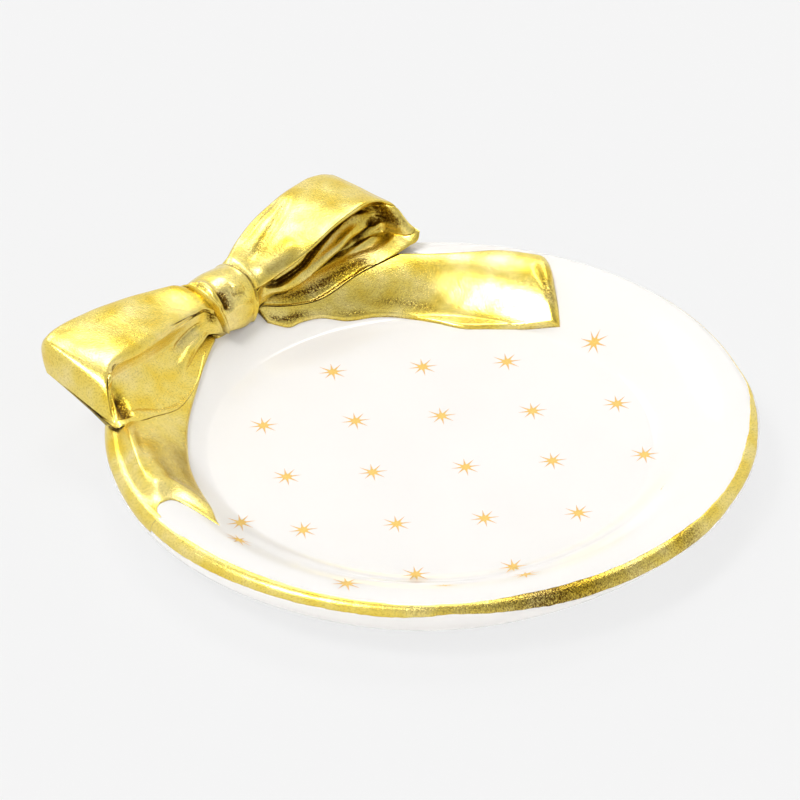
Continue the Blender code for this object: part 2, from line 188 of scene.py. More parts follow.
def rest_height(x, y, clear):
    """Height over a place of the dish that keeps a distance, square to the surface."""
    radius = np.hypot(x, y)
    return dish_height(radius) + clear / dish_normal(np.minimum(radius, CREST_RADIUS))[1]


def at_share(table, share):
    """Read the columns of a table smoothly, at a share between those of its first column."""
    keys = [row[0] for row in table]
    last = len(table) - 1
    i = int(clamp(sum(1 for key in keys if key <= share) - 1, 0, last - 1))
    span = keys[i + 1] - keys[i]
    u = clamp((share - keys[i]) / span)
    low, high = max(i - 1, 0), min(i + 2, last)
    a, b = np.array(table[i][1:]), np.array(table[i + 1][1:])
    before = (b - np.array(table[low][1:])) / (keys[i + 1] - keys[low]) * span
    after = (np.array(table[high][1:]) - a) / (keys[high] - keys[i]) * span
    return (a * (1 + 2 * u) * (1 - u) ** 2 + before * u * (1 - u) ** 2
            + b * u * u * (3 - 2 * u) + after * u * u * (u - 1))


def closed_curve(keys, count):
    """Points along a smooth closed curve through the key points."""
    keys = np.array(keys)
    place = np.arange(count) * len(keys) / count
    i = place.astype(int)
    u = (place - i)[:, None]
    a, b, c, d = (keys[(i + k) % len(keys)] for k in (-1, 0, 1, 2))
    return 0.5 * (2 * b + (c - a) * u + (2 * a - 5 * b + 4 * c - d) * u ** 2
                  + (3 * b - a - 3 * c + d) * u ** 3)


def arc(centre, radius, start, end, count):
    """Points of an arc in a profile; angles run from straight up, outwards and down."""
    angles = np.linspace(start, end, count + 1)
    return [(centre[0] + radius * math.sin(a), centre[1] + radius * math.cos(a)) for a in angles]


# Materials

# Places of the colour sockets on a mix node
MIX_A, MIX_B, MIX_COLOUR = 6, 7, 2

# Roughness of the gold where it lies thick and smooth, and where the brush left it thin
GOLD_SMOOTH, GOLD_ROUGH = 0.16, 0.26
# Millimetres: the brush grain as drawn on each gold, and how deep a hollow counts as one, to be painted
# with brown shade
BOW_GRAIN, LINE_GRAIN = 0.38, 0.34
BOW_HOLLOW, LINE_HOLLOW = 5.0, 1.0


def linear(code):
    """Linear colour of an sRGB hex code."""
    channels = [int(code[i:i + 2], 16) / 255.0 for i in (1, 3, 5)]
    return tuple(c / 12.92 if c <= 0.04045 else ((c + 0.055) / 1.055) ** 2.4 for c in channels) + (1.0,)


def add(tree, kind, inputs=None, **settings):
    """Add a node, set it, and fill its inputs with values or with other nodes' outputs."""
    made = tree.nodes.new("ShaderNode" + kind)
    for name, value in settings.items():
        if name == "stops":
            elements = made.color_ramp.elements
            while len(elements) < len(value):
                elements.new(1.0)
            for element, (place, colour) in zip(elements, value):
                element.position = place
                element.color = linear(colour)
        else:
            setattr(made, name, value)
    for key, value in (inputs or {}).items():
        if isinstance(value, bpy.types.NodeSocket):
            tree.links.new(value, made.inputs[key])
        else:
            made.inputs[key].default_value = value
    return made


def new_tree(name):
    material = bpy.data.materials.new(name)
    material.use_nodes = True
    tree = material.node_tree
    tree.nodes.clear()
    return material, tree


def per_mm(size):
    """Scale of a texture whose features are this many millimetres wide."""
    return 1.0 / (size * MM)


def white_glaze():
    """White stoneware under a clear, fired glaze: a warm white body with a sharp, faint mirror on
    top, and a slight waviness that bends what it mirrors. Its tint varies over about 24 mm and
    its waves over about 9 mm."""
    material, tree = new_tree("white_stoneware_glossy_glaze")
    place = add(tree, "TexCoord").outputs["Object"]
    pooled = add(tree, "TexNoise", {"Vector": place, "Scale": per_mm(24.0), "Detail": 2.0})
    tint = add(tree, "ValToRGB", {"Fac": pooled.outputs["Fac"]},
               stops=((0.3, "#F7F4F0"), (0.7, "#FAF7F3")))
    waves = add(tree, "TexNoise", {"Vector": place, "Scale": per_mm(9.0), "Detail": 1.0})
    bump = add(tree, "Bump", {"Height": waves.outputs["Fac"], "Distance": 0.02 * MM, "Strength": 0.6})
    shader = add(tree, "BsdfPrincipled", {
        "Base Color": tint.outputs["Color"], "Roughness": 0.09, "IOR": 1.5,
        "Normal": bump.outputs["Normal"]})
    add(tree, "OutputMaterial", {"Surface": shader.outputs["BSDF"]})
    return material


def gold_lustre(name, grain, hollow_reach):
    """Bright gold lustre, brushed on and fired: a metal film over glaze. Its sandy brush grain
    breaks the mirror into fine sparkle. In the hollows that ambient occlusion finds, and where a
    piece's share of painted shade says so, the gold is painted dark brown as shade, speckled by the
    grain, and its grain bumps grow stronger."""
    material, tree = new_tree(name)
    place = add(tree, "TexCoord").outputs["Object"]
    patches = add(tree, "TexNoise", {"Vector": place, "Scale": per_mm(7.0), "Detail": 2.0,
                                     "Roughness": 0.5})
    coat = add(tree, "ValToRGB", {"Fac": patches.outputs["Fac"]},
               stops=((0.30, "#EDCC46"), (0.50, "#F0D970"), (0.70, "#F4E192")))
    hollow = add(tree, "AmbientOcclusion", {"Distance": hollow_reach * MM}, samples=8)
    # The real grain is finer than a tenth of a millimetre, and is drawn coarser so that it shows
    sand = add(tree, "TexNoise", {"Vector": place, "Scale": per_mm(grain), "Detail": 2.0,
                                  "Roughness": 0.7})
    specks = add(tree, "ValToRGB", {"Fac": sand.outputs["Fac"]},
                 stops=((0.34, "#A98A34"), (0.50, "#FFFFFF")))
    pitted = add(tree, "Mix", {"Factor": 0.30, MIX_A: coat.outputs["Color"],
                               MIX_B: specks.outputs["Color"]}, data_type="RGBA",
                 blend_type="MULTIPLY")
    # Painted shade: ambient occlusion finds the hollows, and each piece's share of painted shade adds
    # to it
    depth = add(tree, "MapRange", {"Value": hollow.outputs["AO"], "From Min": 0.70,
                                   "From Max": 0.25, "To Min": 0.0, "To Max": 1.0})
    shade_share = add(tree, "Attribute", attribute_name="brown")
    brown = add(tree, "Math", {0: depth.outputs["Result"], 1: shade_share.outputs["Fac"]},
                operation="ADD")
    grains = add(tree, "MapRange", {"Value": sand.outputs["Fac"], "From Min": 0.30,
                                    "From Max": 0.70, "To Min": 1.8, "To Max": 0.2})
    # How strongly the gold is painted dark brown as shade, speckled by the grain
    thin = add(tree, "Math", {0: brown.outputs[0], 1: grains.outputs["Result"]},
               operation="MULTIPLY", use_clamp=True)
    colour = add(tree, "Mix", {"Factor": thin.outputs[0], MIX_A: pitted.outputs[MIX_COLOUR],
                               MIX_B: linear("#5A3B02")}, data_type="RGBA")
    lumps = add(tree, "TexNoise", {"Vector": place, "Scale": per_mm(1.5), "Detail": 1.0})
    dents = add(tree, "Bump", {"Height": lumps.outputs["Fac"], "Distance": 0.05 * MM,
                               "Strength": 0.5})
    rough = add(tree, "MapRange", {"Value": brown.outputs[0], "To Min": 0.30, "To Max": 1.1})
    bump = add(tree, "Bump", {"Height": sand.outputs["Fac"], "Distance": 0.15 * MM,
                              "Strength": rough.outputs["Result"],
                              "Normal": dents.outputs["Normal"]})
    wear = add(tree, "MapRange", {"Value": patches.outputs["Fac"], "From Min": 0.3, "From Max": 0.7,
                                  "To Min": GOLD_SMOOTH, "To Max": GOLD_ROUGH})
    shader = add(tree, "BsdfPrincipled", {
        "Base Color": colour.outputs[MIX_COLOUR], "Metallic": 1.0,
        "Roughness": wear.outputs["Result"], "Normal": bump.outputs["Normal"]})
    add(tree, "OutputMaterial", {"Surface": shader.outputs["BSDF"]})
    return material


def star_enamel():
    """Printed overglaze enamel: a flat ochre yellow, a little shiny, that fades at the ray tips."""
    material, tree = new_tree("star_overglaze_enamel")
    place = add(tree, "TexCoord").outputs["Object"]
    tip = add(tree, "Attribute", attribute_name="tip")
    # The pigment's real grain is finer, and is drawn coarser so that it shows
    speckle = add(tree, "TexNoise", {"Vector": place, "Scale": per_mm(0.35), "Detail": 2.0})
    ink = add(tree, "ValToRGB", {"Fac": speckle.outputs["Fac"]},
              stops=((0.35, "#F5C656"), (0.65, "#F9D26A")))
    colour = add(tree, "Mix", {"Factor": tip.outputs["Fac"], MIX_A: ink.outputs["Color"],
                               MIX_B: linear("#EBBB84")}, data_type="RGBA")
    shader = add(tree, "BsdfPrincipled", {"Base Color": colour.outputs[MIX_COLOUR],
                                          "Roughness": 0.25, "IOR": 1.5})
    add(tree, "OutputMaterial", {"Surface": shader.outputs["BSDF"]})
    return material


# Mesh making

def grid_normals(grid, wraps):
    """Unit normals of a grid of points; its columns wrap round or don't."""
    along = np.gradient(grid, axis=0)
    if wraps:
        around = np.roll(grid, -1, axis=1) - np.roll(grid, 1, axis=1)
    else:
        around = np.gradient(grid, axis=1)
    normal = np.cross(along, around)
    return normal / np.maximum(np.linalg.norm(normal, axis=2, keepdims=True), 1e-9)


def uneven(grid, size, height, seed):
    """Heights of hand-worked unevenness over a grid of points."""
    offset = Vector((seed * 17.0, seed * 5.0, seed * 11.0))
    flat = grid.reshape(-1, 3) / size
    values = [noise.noise(Vector(point) + offset) for point in flat]
    return height * np.array(values).reshape(grid.shape[:2])


# A drawn line fades in and out over this share of its length
LINE_FADE_SHARE = 0.25


def line_depth(place, round_share, girth, line, width, depth):
    """Depth over a grid of a groove, or of a ridge where depth is negative, drawn along a line of
    (place, share round) points. It fades out at both ends."""
    points = np.array(line)
    best = np.full(place.shape, np.inf)
    how_far = np.zeros(place.shape)
    parts = len(points) - 1
    for k in range(parts):
        (p0, r0), (p1, r1) = points[k], points[k + 1]
        away = place - p0
        turn = ((round_share - r0 + 0.5) % 1.0 - 0.5) * girth
        step = p1 - p0
        bend = (r1 - r0) * girth
        share = clamp((away * step + turn * bend) / (step ** 2 + bend ** 2))
        distance = np.hypot(away - share * step, turn - share * bend)
        nearer = distance < best
        best = np.where(nearer, distance, best)
        how_far = np.where(nearer, (k + share) / parts, how_far)
    fade = ease(np.minimum(how_far, 1.0 - how_far) / LINE_FADE_SHARE)
    return depth * np.exp(-(best / width) ** 2) * fade


def ridge(across, middle, width):
    """Height share of a soft ridge that runs along a piece, at a place across it."""
    return np.exp(-((across - middle) / width) ** 2)


def round_edge(distance, reach):
    """Thickness share near a rounded edge."""
    return np.sqrt(clamp(1.0 - (1.0 - clamp(distance / reach)) ** 2))


def new_piece(name, points, faces, material, slot):
    """A mesh object from points in millimetres; a piece of the dish rides on its one body."""
    mesh = bpy.data.meshes.new(name)
    mesh.from_pydata([tuple(point) for point in np.array(points) * MM], [], faces)
    mesh.validate()
    mesh.shade_smooth()
    mesh.materials.append(material)
    piece = bpy.data.objects.new(name, mesh)
    bpy.context.scene.collection.objects.link(piece)
    if slot:
        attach(piece, "root")
    return piece


def set_shares(piece, name, shares):
    """Give every point of a mesh a share, for its material to read."""
    layer = piece.data.attributes.new(name, "FLOAT", "POINT")
    layer.data.foreach_set("value", np.array(shares, dtype=np.float32).ravel())


def grid_faces(rows, columns, wraps):
    """Faces between the points of a grid, also from its last column to its first where it wraps."""
    faces = []
    for i in range(rows - 1):
        for j in range(columns if wraps else columns - 1):
            k = (j + 1) % columns
            faces.append((i * columns + j, i * columns + k,
                          (i + 1) * columns + k, (i + 1) * columns + j))
    return faces


def end_faces(row, columns):
    """Faces that close an end, between a ring's two sides."""
    start = row * columns
    return [(start + j, start + j + 1, start + columns - 2 - j, start + columns - 1 - j)
            for j in range(columns // 2 - 1)]


def tube_piece(name, grid, brown, material, slot):
    """A closed piece through rings of points, with its faces turned out."""
    rows, columns = grid.shape[:2]
    faces = grid_faces(rows, columns, True)
    faces += end_faces(0, columns) + end_faces(rows - 1, columns)
    piece = new_piece(name, grid.reshape(-1, 3), faces, material, slot)
    set_shares(piece, "brown", clamp(brown))
    turn_out(piece)
    return piece


def turn_out(piece):
    """Join points that meet, and turn all faces outwards."""
    bm = bmesh.new()
    bm.from_mesh(piece.data)
    bmesh.ops.remove_doubles(bm, verts=bm.verts, dist=0.001 * MM)
    bmesh.ops.recalc_face_normals(bm, faces=bm.faces)
    bm.to_mesh(piece.data)
    bm.free()


# The dish

def make_dish(material):
    """Floor, wall, round lip, underside and foot, turned from one profile."""
    lip = (CREST_RADIUS, LIP_CENTRE_HEIGHT)
    skin = LIP_RADIUS - GOLD_FILM
    profile = [(0.0, FLOOR_HEIGHT)]
    for radius in np.linspace(FLOOR_START, FLOOR_RADIUS, FLOOR_POINTS):
        profile.append((radius, FLOOR_HEIGHT))
    for radius in np.linspace(FLOOR_RADIUS, CREST_RADIUS, WALL_POINTS)[1:-1]:
        under_film = GOLD_FILM * float(ease((radius - FLOOR_RADIUS) / FILM_FADE))
        profile.append((radius, float(dish_height(radius)) - under_film))
    profile += arc(lip, skin, 0.0, math.pi / 2.0, LIP_POINTS)
    under = (RIM_RADIUS - GOLD_FILM - LIP_UNDER_RADIUS, LIP_CENTRE_HEIGHT - LIP_FACE)
    profile += arc(under, LIP_UNDER_RADIUS, math.pi / 2.0, math.pi, UNDER_LIP_POINTS)
    bottom = under[1] - LIP_UNDER_RADIUS
    start = FOOT_RADIUS + FOOT_FLARE
    for share in np.linspace(1.0, 0.0, UNDERSIDE_POINTS)[1:]:
        profile.append((start + (under[0] - start) * share,
                        FOOT_HEIGHT + (bottom - FOOT_HEIGHT) * float(rise_share(share))))
    profile += arc((FOOT_RADIUS, FOOT_EDGE_RADIUS), FOOT_EDGE_RADIUS, math.pi / 2.0, math.pi,
                   FOOT_POINTS)
    profile.append((0.0, 0.0))
    grid = np.empty((len(profile), DISH_STEPS, 3))
    for j in range(DISH_STEPS):
        degrees = TURN_START + j * 360.0 / DISH_STEPS
        for i, (radius, height) in enumerate(profile):
            radius, height = rim_shape(radius, height, degrees)
            grid[i, j] = (radius * math.cos(math.radians(degrees)),
                          radius * math.sin(math.radians(degrees)), height)
    faces = grid_faces(len(profile), DISH_STEPS, True)
    piece = new_piece("dish_glazed", grid.reshape(-1, 3), faces, material, "white_glaze")
    turn_out(piece)
    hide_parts("dish_body")
    return piece


# Degrees round the dish from the X axis at which the tables of the rim and the gold line start
TURN_START = -195.0
# The hand-made rim isn't quite round: degrees round the dish from the X axis, how much farther out
# the lip runs there, and how much higher its underside lies.
RIM_SHAPE = (
    (-195.0, 0.00, 0.0),
    (-165.0, 0.00, -0.2),
    (-147.0, 0.00, -0.6),
    (-132.0, 0.00, -0.4),
    (-120.0, 0.00, 0.2),
    (-108.0, 0.00, 0.8),
    (-95.0, 0.00, 1.1),
    (-86.0, 0.00, 0.6),
    (-75.0, 0.10, 0.2),
    (-65.0, 0.45, 0.0),
    (-56.0, 0.75, 0.0),
    (-48.0, 1.00, 0.0),
    (-40.0, 0.60, 0.0),
    (-32.0, 0.00, 0.0),
    (165.0, 0.00, 0.0),
)
# The uneven shape comes in softly, this far below the lip's middle and this far out from the floor
RIM_BLEND_DROP = 2.5
RIM_BLEND_WIDTH = 12.0


def rim_shape(radius, height, degrees):
    """Radius and height of a point of the dish, moved to the rim's uneven shape."""
    wider, higher = at_share(RIM_SHAPE, degrees)
    outer = float(clamp((radius - CREST_RADIUS) / LIP_RADIUS))
    below = float(ease((LIP_CENTRE_HEIGHT - height) / RIM_BLEND_DROP)
                  * ease((radius - FLOOR_RADIUS) / RIM_BLEND_WIDTH))
    return radius + wider * outer, height + higher * below


def lip_point(along, lift):
    """Radius and height on the lip, a distance out from its crest along the section."""
    quarter = LIP_RADIUS * math.pi / 2.0
    if along < 0.0:
        out, up = dish_normal(CREST_RADIUS + along)
        height = float(dish_height(CREST_RADIUS + along))
        return CREST_RADIUS + along + out * lift, height + up * lift
    if along <= quarter:
        angle = along / LIP_RADIUS
        reach = LIP_RADIUS - GOLD_FILM + lift
        return CREST_RADIUS + reach * math.sin(angle), LIP_CENTRE_HEIGHT + reach * math.cos(angle)
    edge = RIM_RADIUS - GOLD_FILM + lift
    if along <= quarter + LIP_FACE:
        return edge, LIP_CENTRE_HEIGHT - (along - quarter)
    angle = (along - quarter - LIP_FACE) / LIP_UNDER_RADIUS
    drop = LIP_UNDER_RADIUS * math.sin(angle)
    inward = LIP_UNDER_RADIUS * (1.0 - math.cos(angle))
    return edge - inward, LIP_CENTRE_HEIGHT - LIP_FACE - drop


# Where the gold line's edges run: degrees round the dish from the X axis, then the distance of the
# inner and of the outer edge from the lip's crest, outwards along the section. Behind the bow the
# line keeps to the lip's outside. Beside the left tail it covers the whole lip, up to a step where
# the line starts.
GILDING_EDGES = (
    (-195.0, 0.50, 3.30),
    (-190.0, 0.20, 3.60),
    (-185.0, -0.20, 3.60),
    (-178.0, -0.15, 3.40),
    (-167.0, -0.10, 3.10),
    (-155.0, 0.10, 3.10),
    (-145.0, 0.35, 3.10),
    (-137.0, 0.25, 2.50),
    (-130.0, 0.00, 2.65),
    (-123.0, -0.30, 3.10),
    (-114.0, -0.30, 3.50),
    (-100.0, -0.30, 3.60),
    (-91.0, -0.10, 3.90),
    (-83.0, 0.15, 4.00),
    (-75.0, 0.40, 3.50),
    (-67.0, 0.35, 3.20),
    (-61.0, 0.35, 2.90),
    (-56.0, 0.40, 2.20),
    (-51.0, 0.50, 1.95),
    (-47.0, 0.95, 1.80),
    (-41.0, 1.55, 2.25),
    (-34.0, 1.75, 2.40),
    (-20.0, 1.95, 2.80),
    (60.0, 2.00, 3.40),
    (100.0, 1.60, 3.60),
    (118.0, -4.00, 4.40),
    (136.0, -5.00, 3.60),
    (150.0, -4.40, 3.20),
    (157.0, -1.80, 3.80),
    (165.8, -0.10, 3.80),
    (166.4, 0.00, 2.60),
)
# Degrees between two sections of the line, whose last one all but meets its first
GILDING_TURN = 380.0 / 1080.0
# How its edges waver: by how much, how tightly, and where in the pattern
INNER_WAVER = ((0.20, 1.3, 0.0), (0.10, 4.0, 0.0))
OUTER_WAVER = ((0.16, 1.7, 5.0), (0.12, 6.0, 9.0))
WAVER_RADIUS = 8.0
# Where two brush strokes of the line meet: a shallow groove along it, in degrees, with its share
# across the line, its width as a share and its depth
STROKES_MEET = (-112.0, -72.0, 0.58, 0.05, 0.045)
# Painted shade on the line, darkening it to brown where it stands in for the darker room mirrored
# there: degrees round the dish, then the share
GILDING_PAINTED_SHADE = (
    (-195.0, 0.00),
    (-150.0, 0.00),
    (-138.0, 0.18),
    (-128.0, 0.38),
    (-119.0, 0.75),
    (-112.0, 0.55),
    (-103.0, 0.30),
    (-94.0, 0.25),
    (-89.0, 0.50),
    (-84.0, 0.12),
    (-70.0, 0.05),
    (165.0, 0.00),
)


def waver(spot, rows):
    """How far a brushed edge strays from its line at a place."""
    return sum(stray * noise.noise(spot * tight + Vector((0.0, 0.0, apart)))
               for stray, tight, apart in rows)


def make_gilding(material):
    """The gold line, brushed by hand, so its edges waver."""
    across = GILDING_POINTS
    grid, brown = [], []
    for n in range(GILDING_SECTIONS):
        degrees = TURN_START + GILDING_TURN * n
        angle = math.radians(degrees)
        spot = Vector((WAVER_RADIUS * math.cos(angle), WAVER_RADIUS * math.sin(angle), 0.0))
        inner, outer = at_share(GILDING_EDGES, degrees)
        inner += waver(spot, INNER_WAVER)
        outer += waver(spot, OUTER_WAVER)
        start, end, middle, wide, deep = STROKES_MEET
        groove = deep * float(ease(4.0 * min(degrees - start, end - degrees) / (end - start)))
        row = []
        for m in range(across + 1):
            along = inner + (outer - inner) * m / across
            lift = -GOLD_FILM if m in (0, across) else GOLD_FILM
            lift -= groove * math.exp(-((m / across - middle) / wide) ** 2)
            radius, height = rim_shape(*lip_point(along, lift), degrees)
            row.append((radius * math.cos(angle), radius * math.sin(angle), height))
        grid.append(row)
        # Each section's share of painted shade and painted dark reflection
        brown += [at_share(GILDING_PAINTED_SHADE, degrees)[0]] * (across + 1)
    grid = np.array(grid)
    faces = grid_faces(len(grid), across + 1, False)
    piece = new_piece("lip_gilding", grid.reshape(-1, 3), faces, material, "lip_gold")
    set_shares(piece, "brown", brown)
    turn_out(piece)
    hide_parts("rim_gilding")
    return piece


# The loops

# Along a loop's reach: the place as a share of the reach, then, as shares of LOOP_WIDTH from
# BOW_RADIUS and of LOOP_RISE from RIM_HEIGHT, the upper lip's y and z, the lower lip's y and z, the
# back's y and z and the crown's z. The last is the hollow's depth as a share of POCKET_DEPTH.
RIGHT_LOOP_SHARES = (
    (0.18, -0.165, 0.30, -0.190, -0.12, 0.215, 0.20, 0.56, 0.00),
    (0.28, -0.212, 0.42, -0.300, -0.20, 0.280, 0.28, 0.68, 0.50),
    (0.42, -0.262, 0.58, -0.405, -0.24, 0.350, 0.34, 0.785, 0.85),
    (0.64, -0.250, 0.77, -0.460, -0.12, 0.405, 0.40, 0.845, 1.00),
    (0.82, -0.255, 0.83, -0.535, -0.08, 0.420, 0.42, 0.815, 1.00),
    (0.90, -0.285, 0.79, -0.570, -0.08, 0.400, 0.42, 0.78, 0.98),
    (0.93, -0.310, 0.76, -0.580, -0.08, 0.390, 0.42, 0.755, 0.88),
    (0.955, -0.345, 0.71, -0.590, -0.07, 0.375, 0.42, 0.72, 0.22),
    (0.975, -0.370, 0.68, -0.590, -0.06, 0.360, 0.42, 0.69, 0.00),
    (1.00, -0.430, 0.50, -0.570, 0.00, 0.300, 0.36, 0.50, -0.12),
)
LEFT_LOOP_SHARES = (
    (0.18, -0.150, 0.50, -0.195, -0.12, 0.215, 0.20, 0.66, 0.00),
    (0.28, -0.150, 0.53, -0.290, -0.20, 0.280, 0.28, 0.69, 0.25),
    (0.42, -0.170, 0.60, -0.440, -0.28, 0.350, 0.34, 0.76, 0.50),
    (0.64, -0.195, 0.70, -0.592, -0.22, 0.405, 0.40, 0.83, 0.60),
    (0.82, -0.225, 0.72, -0.600, -0.06, 0.420, 0.42, 0.845, 0.60),
    (0.90, -0.300, 0.62, -0.590, -0.05, 0.405, 0.42, 0.835, 0.50),
    (0.95, -0.390, 0.42, -0.580, -0.06, 0.380, 0.40, 0.77, 0.25),
    (0.98, -0.470, 0.14, -0.560, -0.12, 0.340, 0.30, 0.54, 0.00),
    (1.00, -0.525, -0.10, -0.545, -0.15, 0.300, 0.14, 0.22, 0.00),
)
# The outside of a section between its lips, as shares of the way back and of the way up
SHOULDER_SHARES = (0.34, 0.55)
CREASE_SHARE = 0.77
HEEL_SHARES = (0.93, 0.90)
UNDER_HEEL_SHARES = (0.10, 0.15)
UNDER_SHARE = 0.50
# The ribbon inside a loop: shares of the way up from the lower lip, and of the hollow's depth. The
# right one is about as deep all the way up, with its folds drawn on as gathers, and the left one is
# a bowl that is deepest below its middle.
RIGHT_POCKET_SHARES = ((0.10, 0.72), (0.32, 0.60), (0.50, 0.66), (0.68, 0.70), (0.86, 0.62))
LEFT_POCKET_SHARES = ((0.16, 0.44), (0.33, 0.74), (0.50, 0.80), (0.67, 0.52), (0.84, 0.12))
# A lip takes up at most this share of the mouth's height
LIP_LIMIT_SHARE = 0.30
# The lips: share of the reach, then the upper lip's height and how far it leans in, the same for
# the lower lip, and how far the ribbon runs back under both, as a share of the hollow's depth. The
# left loop's upper lip rolls out softly in its middle, and stands up only at the loop's end.
RIGHT_LIPS = (
    (0.18, 1.7, 0.60, 0.3, 1.00, 0.15),
    (0.80, 1.8, 0.60, 0.4, 1.00, 0.18),
    (0.90, 1.8, 0.60, 1.0, 0.60, 0.22),
    (1.00, 1.7, 0.60, 1.5, 0.50, 0.22),
)
LEFT_LIPS = (
    (0.18, 0.9, 0.30, 0.4, 1.60, 0.05),
    (0.45, 1.3, -0.80, 0.3, 2.00, 0.00),
    (0.68, 1.6, -1.60, 0.3, 2.20, 0.00),
    (0.80, 1.4, -0.80, 0.4, 1.80, 0.00),
    (0.88, 1.4, -0.20, 0.6, 1.20, 0.00),
    (0.95, 1.4, 0.00, 0.8, 0.80, 0.00),
    (1.00, 1.2, 0.20, 0.7, 0.40, 0.00),
)
# Where the lips' lines run on the neck, and the share of a section's points outside the mouth
NECK_UPPER_LIP = math.radians(150.0)
NECK_LOWER_LIP = math.radians(-145.0)
OUTSIDE_SHARE = 7.0 / 15.0
# Where the floor of a hollow starts and ends round a section, each with how softly
HOLLOW_FLOOR_START = (0.49, 0.03)
HOLLOW_FLOOR_END = (0.80, 0.05)

# Gathers of the ribbon, as lines of (millimetres from the bow's middle, share round the section
# # from the upper lip over the back), with their width and depth, and how much painted shade darkens
# # the gold in them to brown. A ridge has a negative depth.
# A ridge has a negative depth.
RIGHT_GATHERS = (
    (((9.6, 0.077), (14.4, 0.092), (23.8, 0.112), (31.1, 0.138)), 0.5, 0.35, 0.30),
    (((9.1, 0.138), (17.2, 0.148), (23.3, 0.153), (28.0, 0.165)), 0.8, 0.25, 0.20),
    (((8.0, 0.045), (14.0, 0.040), (21.0, 0.048)), 1.2, -0.45, 0.0),
    (((8.0, 0.860), (13.4, 0.715), (21.3, 0.705), (30.6, 0.755), (37.4, 0.80), (41.0, 0.76)),
     1.0, 1.10, 0.90),
    (((8.0, 0.760), (14.0, 0.650), (20.0, 0.635), (30.0, 0.655), (38.0, 0.715)), 1.7, -1.20, 0.0),
    (((33.5, 0.625), (37.0, 0.640), (39.5, 0.665), (42.0, 0.740)), 1.1, 1.40, 0.90),
    (((40.5, 0.900), (42.0, 0.830), (42.4, 0.740), (41.8, 0.660)), 1.0, 0.00, 0.90),
    (((26.0, 0.575), (31.0, 0.575), (37.0, 0.590), (41.0, 0.600)), 1.1, -0.70, 0.0),
    (((9.0, 0.545), (15.6, 0.535), (24.5, 0.530), (31.0, 0.525), (36.0, 0.520)), 1.4, 0.30, 0.90),
    (((8.5, 0.990), (20.0, 0.988), (33.0, 0.985), (38.0, 0.970), (41.3, 0.930), (42.9, 0.860),
      (43.2, 0.740), (42.8, 0.640), (41.0, 0.550), (37.0, 0.510)), 0.9, -0.55, 0.0),
)
LEFT_GATHERS = (
    (((7.9, 0.880), (12.0, 0.970), (15.3, 0.985), (19.0, 0.993)), 0.45, 0.40, 0.45),
    (((37.0, 0.985), (38.9, 0.930), (39.9, 0.780), (41.9, 0.663), (43.6, 0.540)), 0.9, -0.75, 0.0),
    (((37.9, 0.860), (38.4, 0.800), (38.6, 0.740), (38.9, 0.660), (40.2, 0.580)), 0.7, 0.25, 0.20),
    (((38.8, 0.680), (39.6, 0.620), (40.6, 0.560), (41.0, 0.520)), 1.2, 0.80, 1.00),
    (((20.0, 0.530), (26.0, 0.520), (31.0, 0.515), (36.6, 0.520), (38.6, 0.550), (38.4, 0.620)),
     2.0, -0.35, 0.0),
    (((8.0, 0.640), (14.0, 0.640), (21.0, 0.620)), 1.4, -0.50, 0.0),
    (((8.5, 0.780), (13.0, 0.740), (19.4, 0.690)), 0.9, 0.50, 0.15),
    (((6.4, 0.950), (6.7, 0.850), (7.2, 0.720)), 0.8, 0.20, 0.90),
)
# A loop's table, its hollow, its lips, its gathers, how far the tail under it is pressed thin, and
# how far its lower lip and the floor of its hollow stay clear of that tail
RIGHT_STYLE = (RIGHT_LOOP_SHARES, RIGHT_POCKET_SHARES, RIGHT_LIPS, RIGHT_GATHERS, 0.0, 0.28)
LEFT_STYLE = (LEFT_LOOP_SHARES, LEFT_POCKET_SHARES, LEFT_LIPS, LEFT_GATHERS, 0.8, 0.0)


def tail_swell(x):
    """How far a tail has come to its full thickness, at a distance from the bow's middle."""
    return ease((np.abs(x) / RIGHT_REACH - SWELL_START_SHARE) / SWELL_SPAN_SHARE)


def loop_rest_height(x, y, pressed):
    """Lowest a loop may reach: on the dish under the strap, and beyond it on the tail, which may be
    pressed thin there."""
    swell = (1.0 - pressed) * (TAIL_THICKNESS - TAIL_UNDER_LOOP) * tail_swell(x)
    layer = np.where(np.abs(x) < KNOT_HALF_WIDTH, 0.0, TAIL_UNDER_LOOP + swell)
    return rest_height(x, y, layer - SUNK)


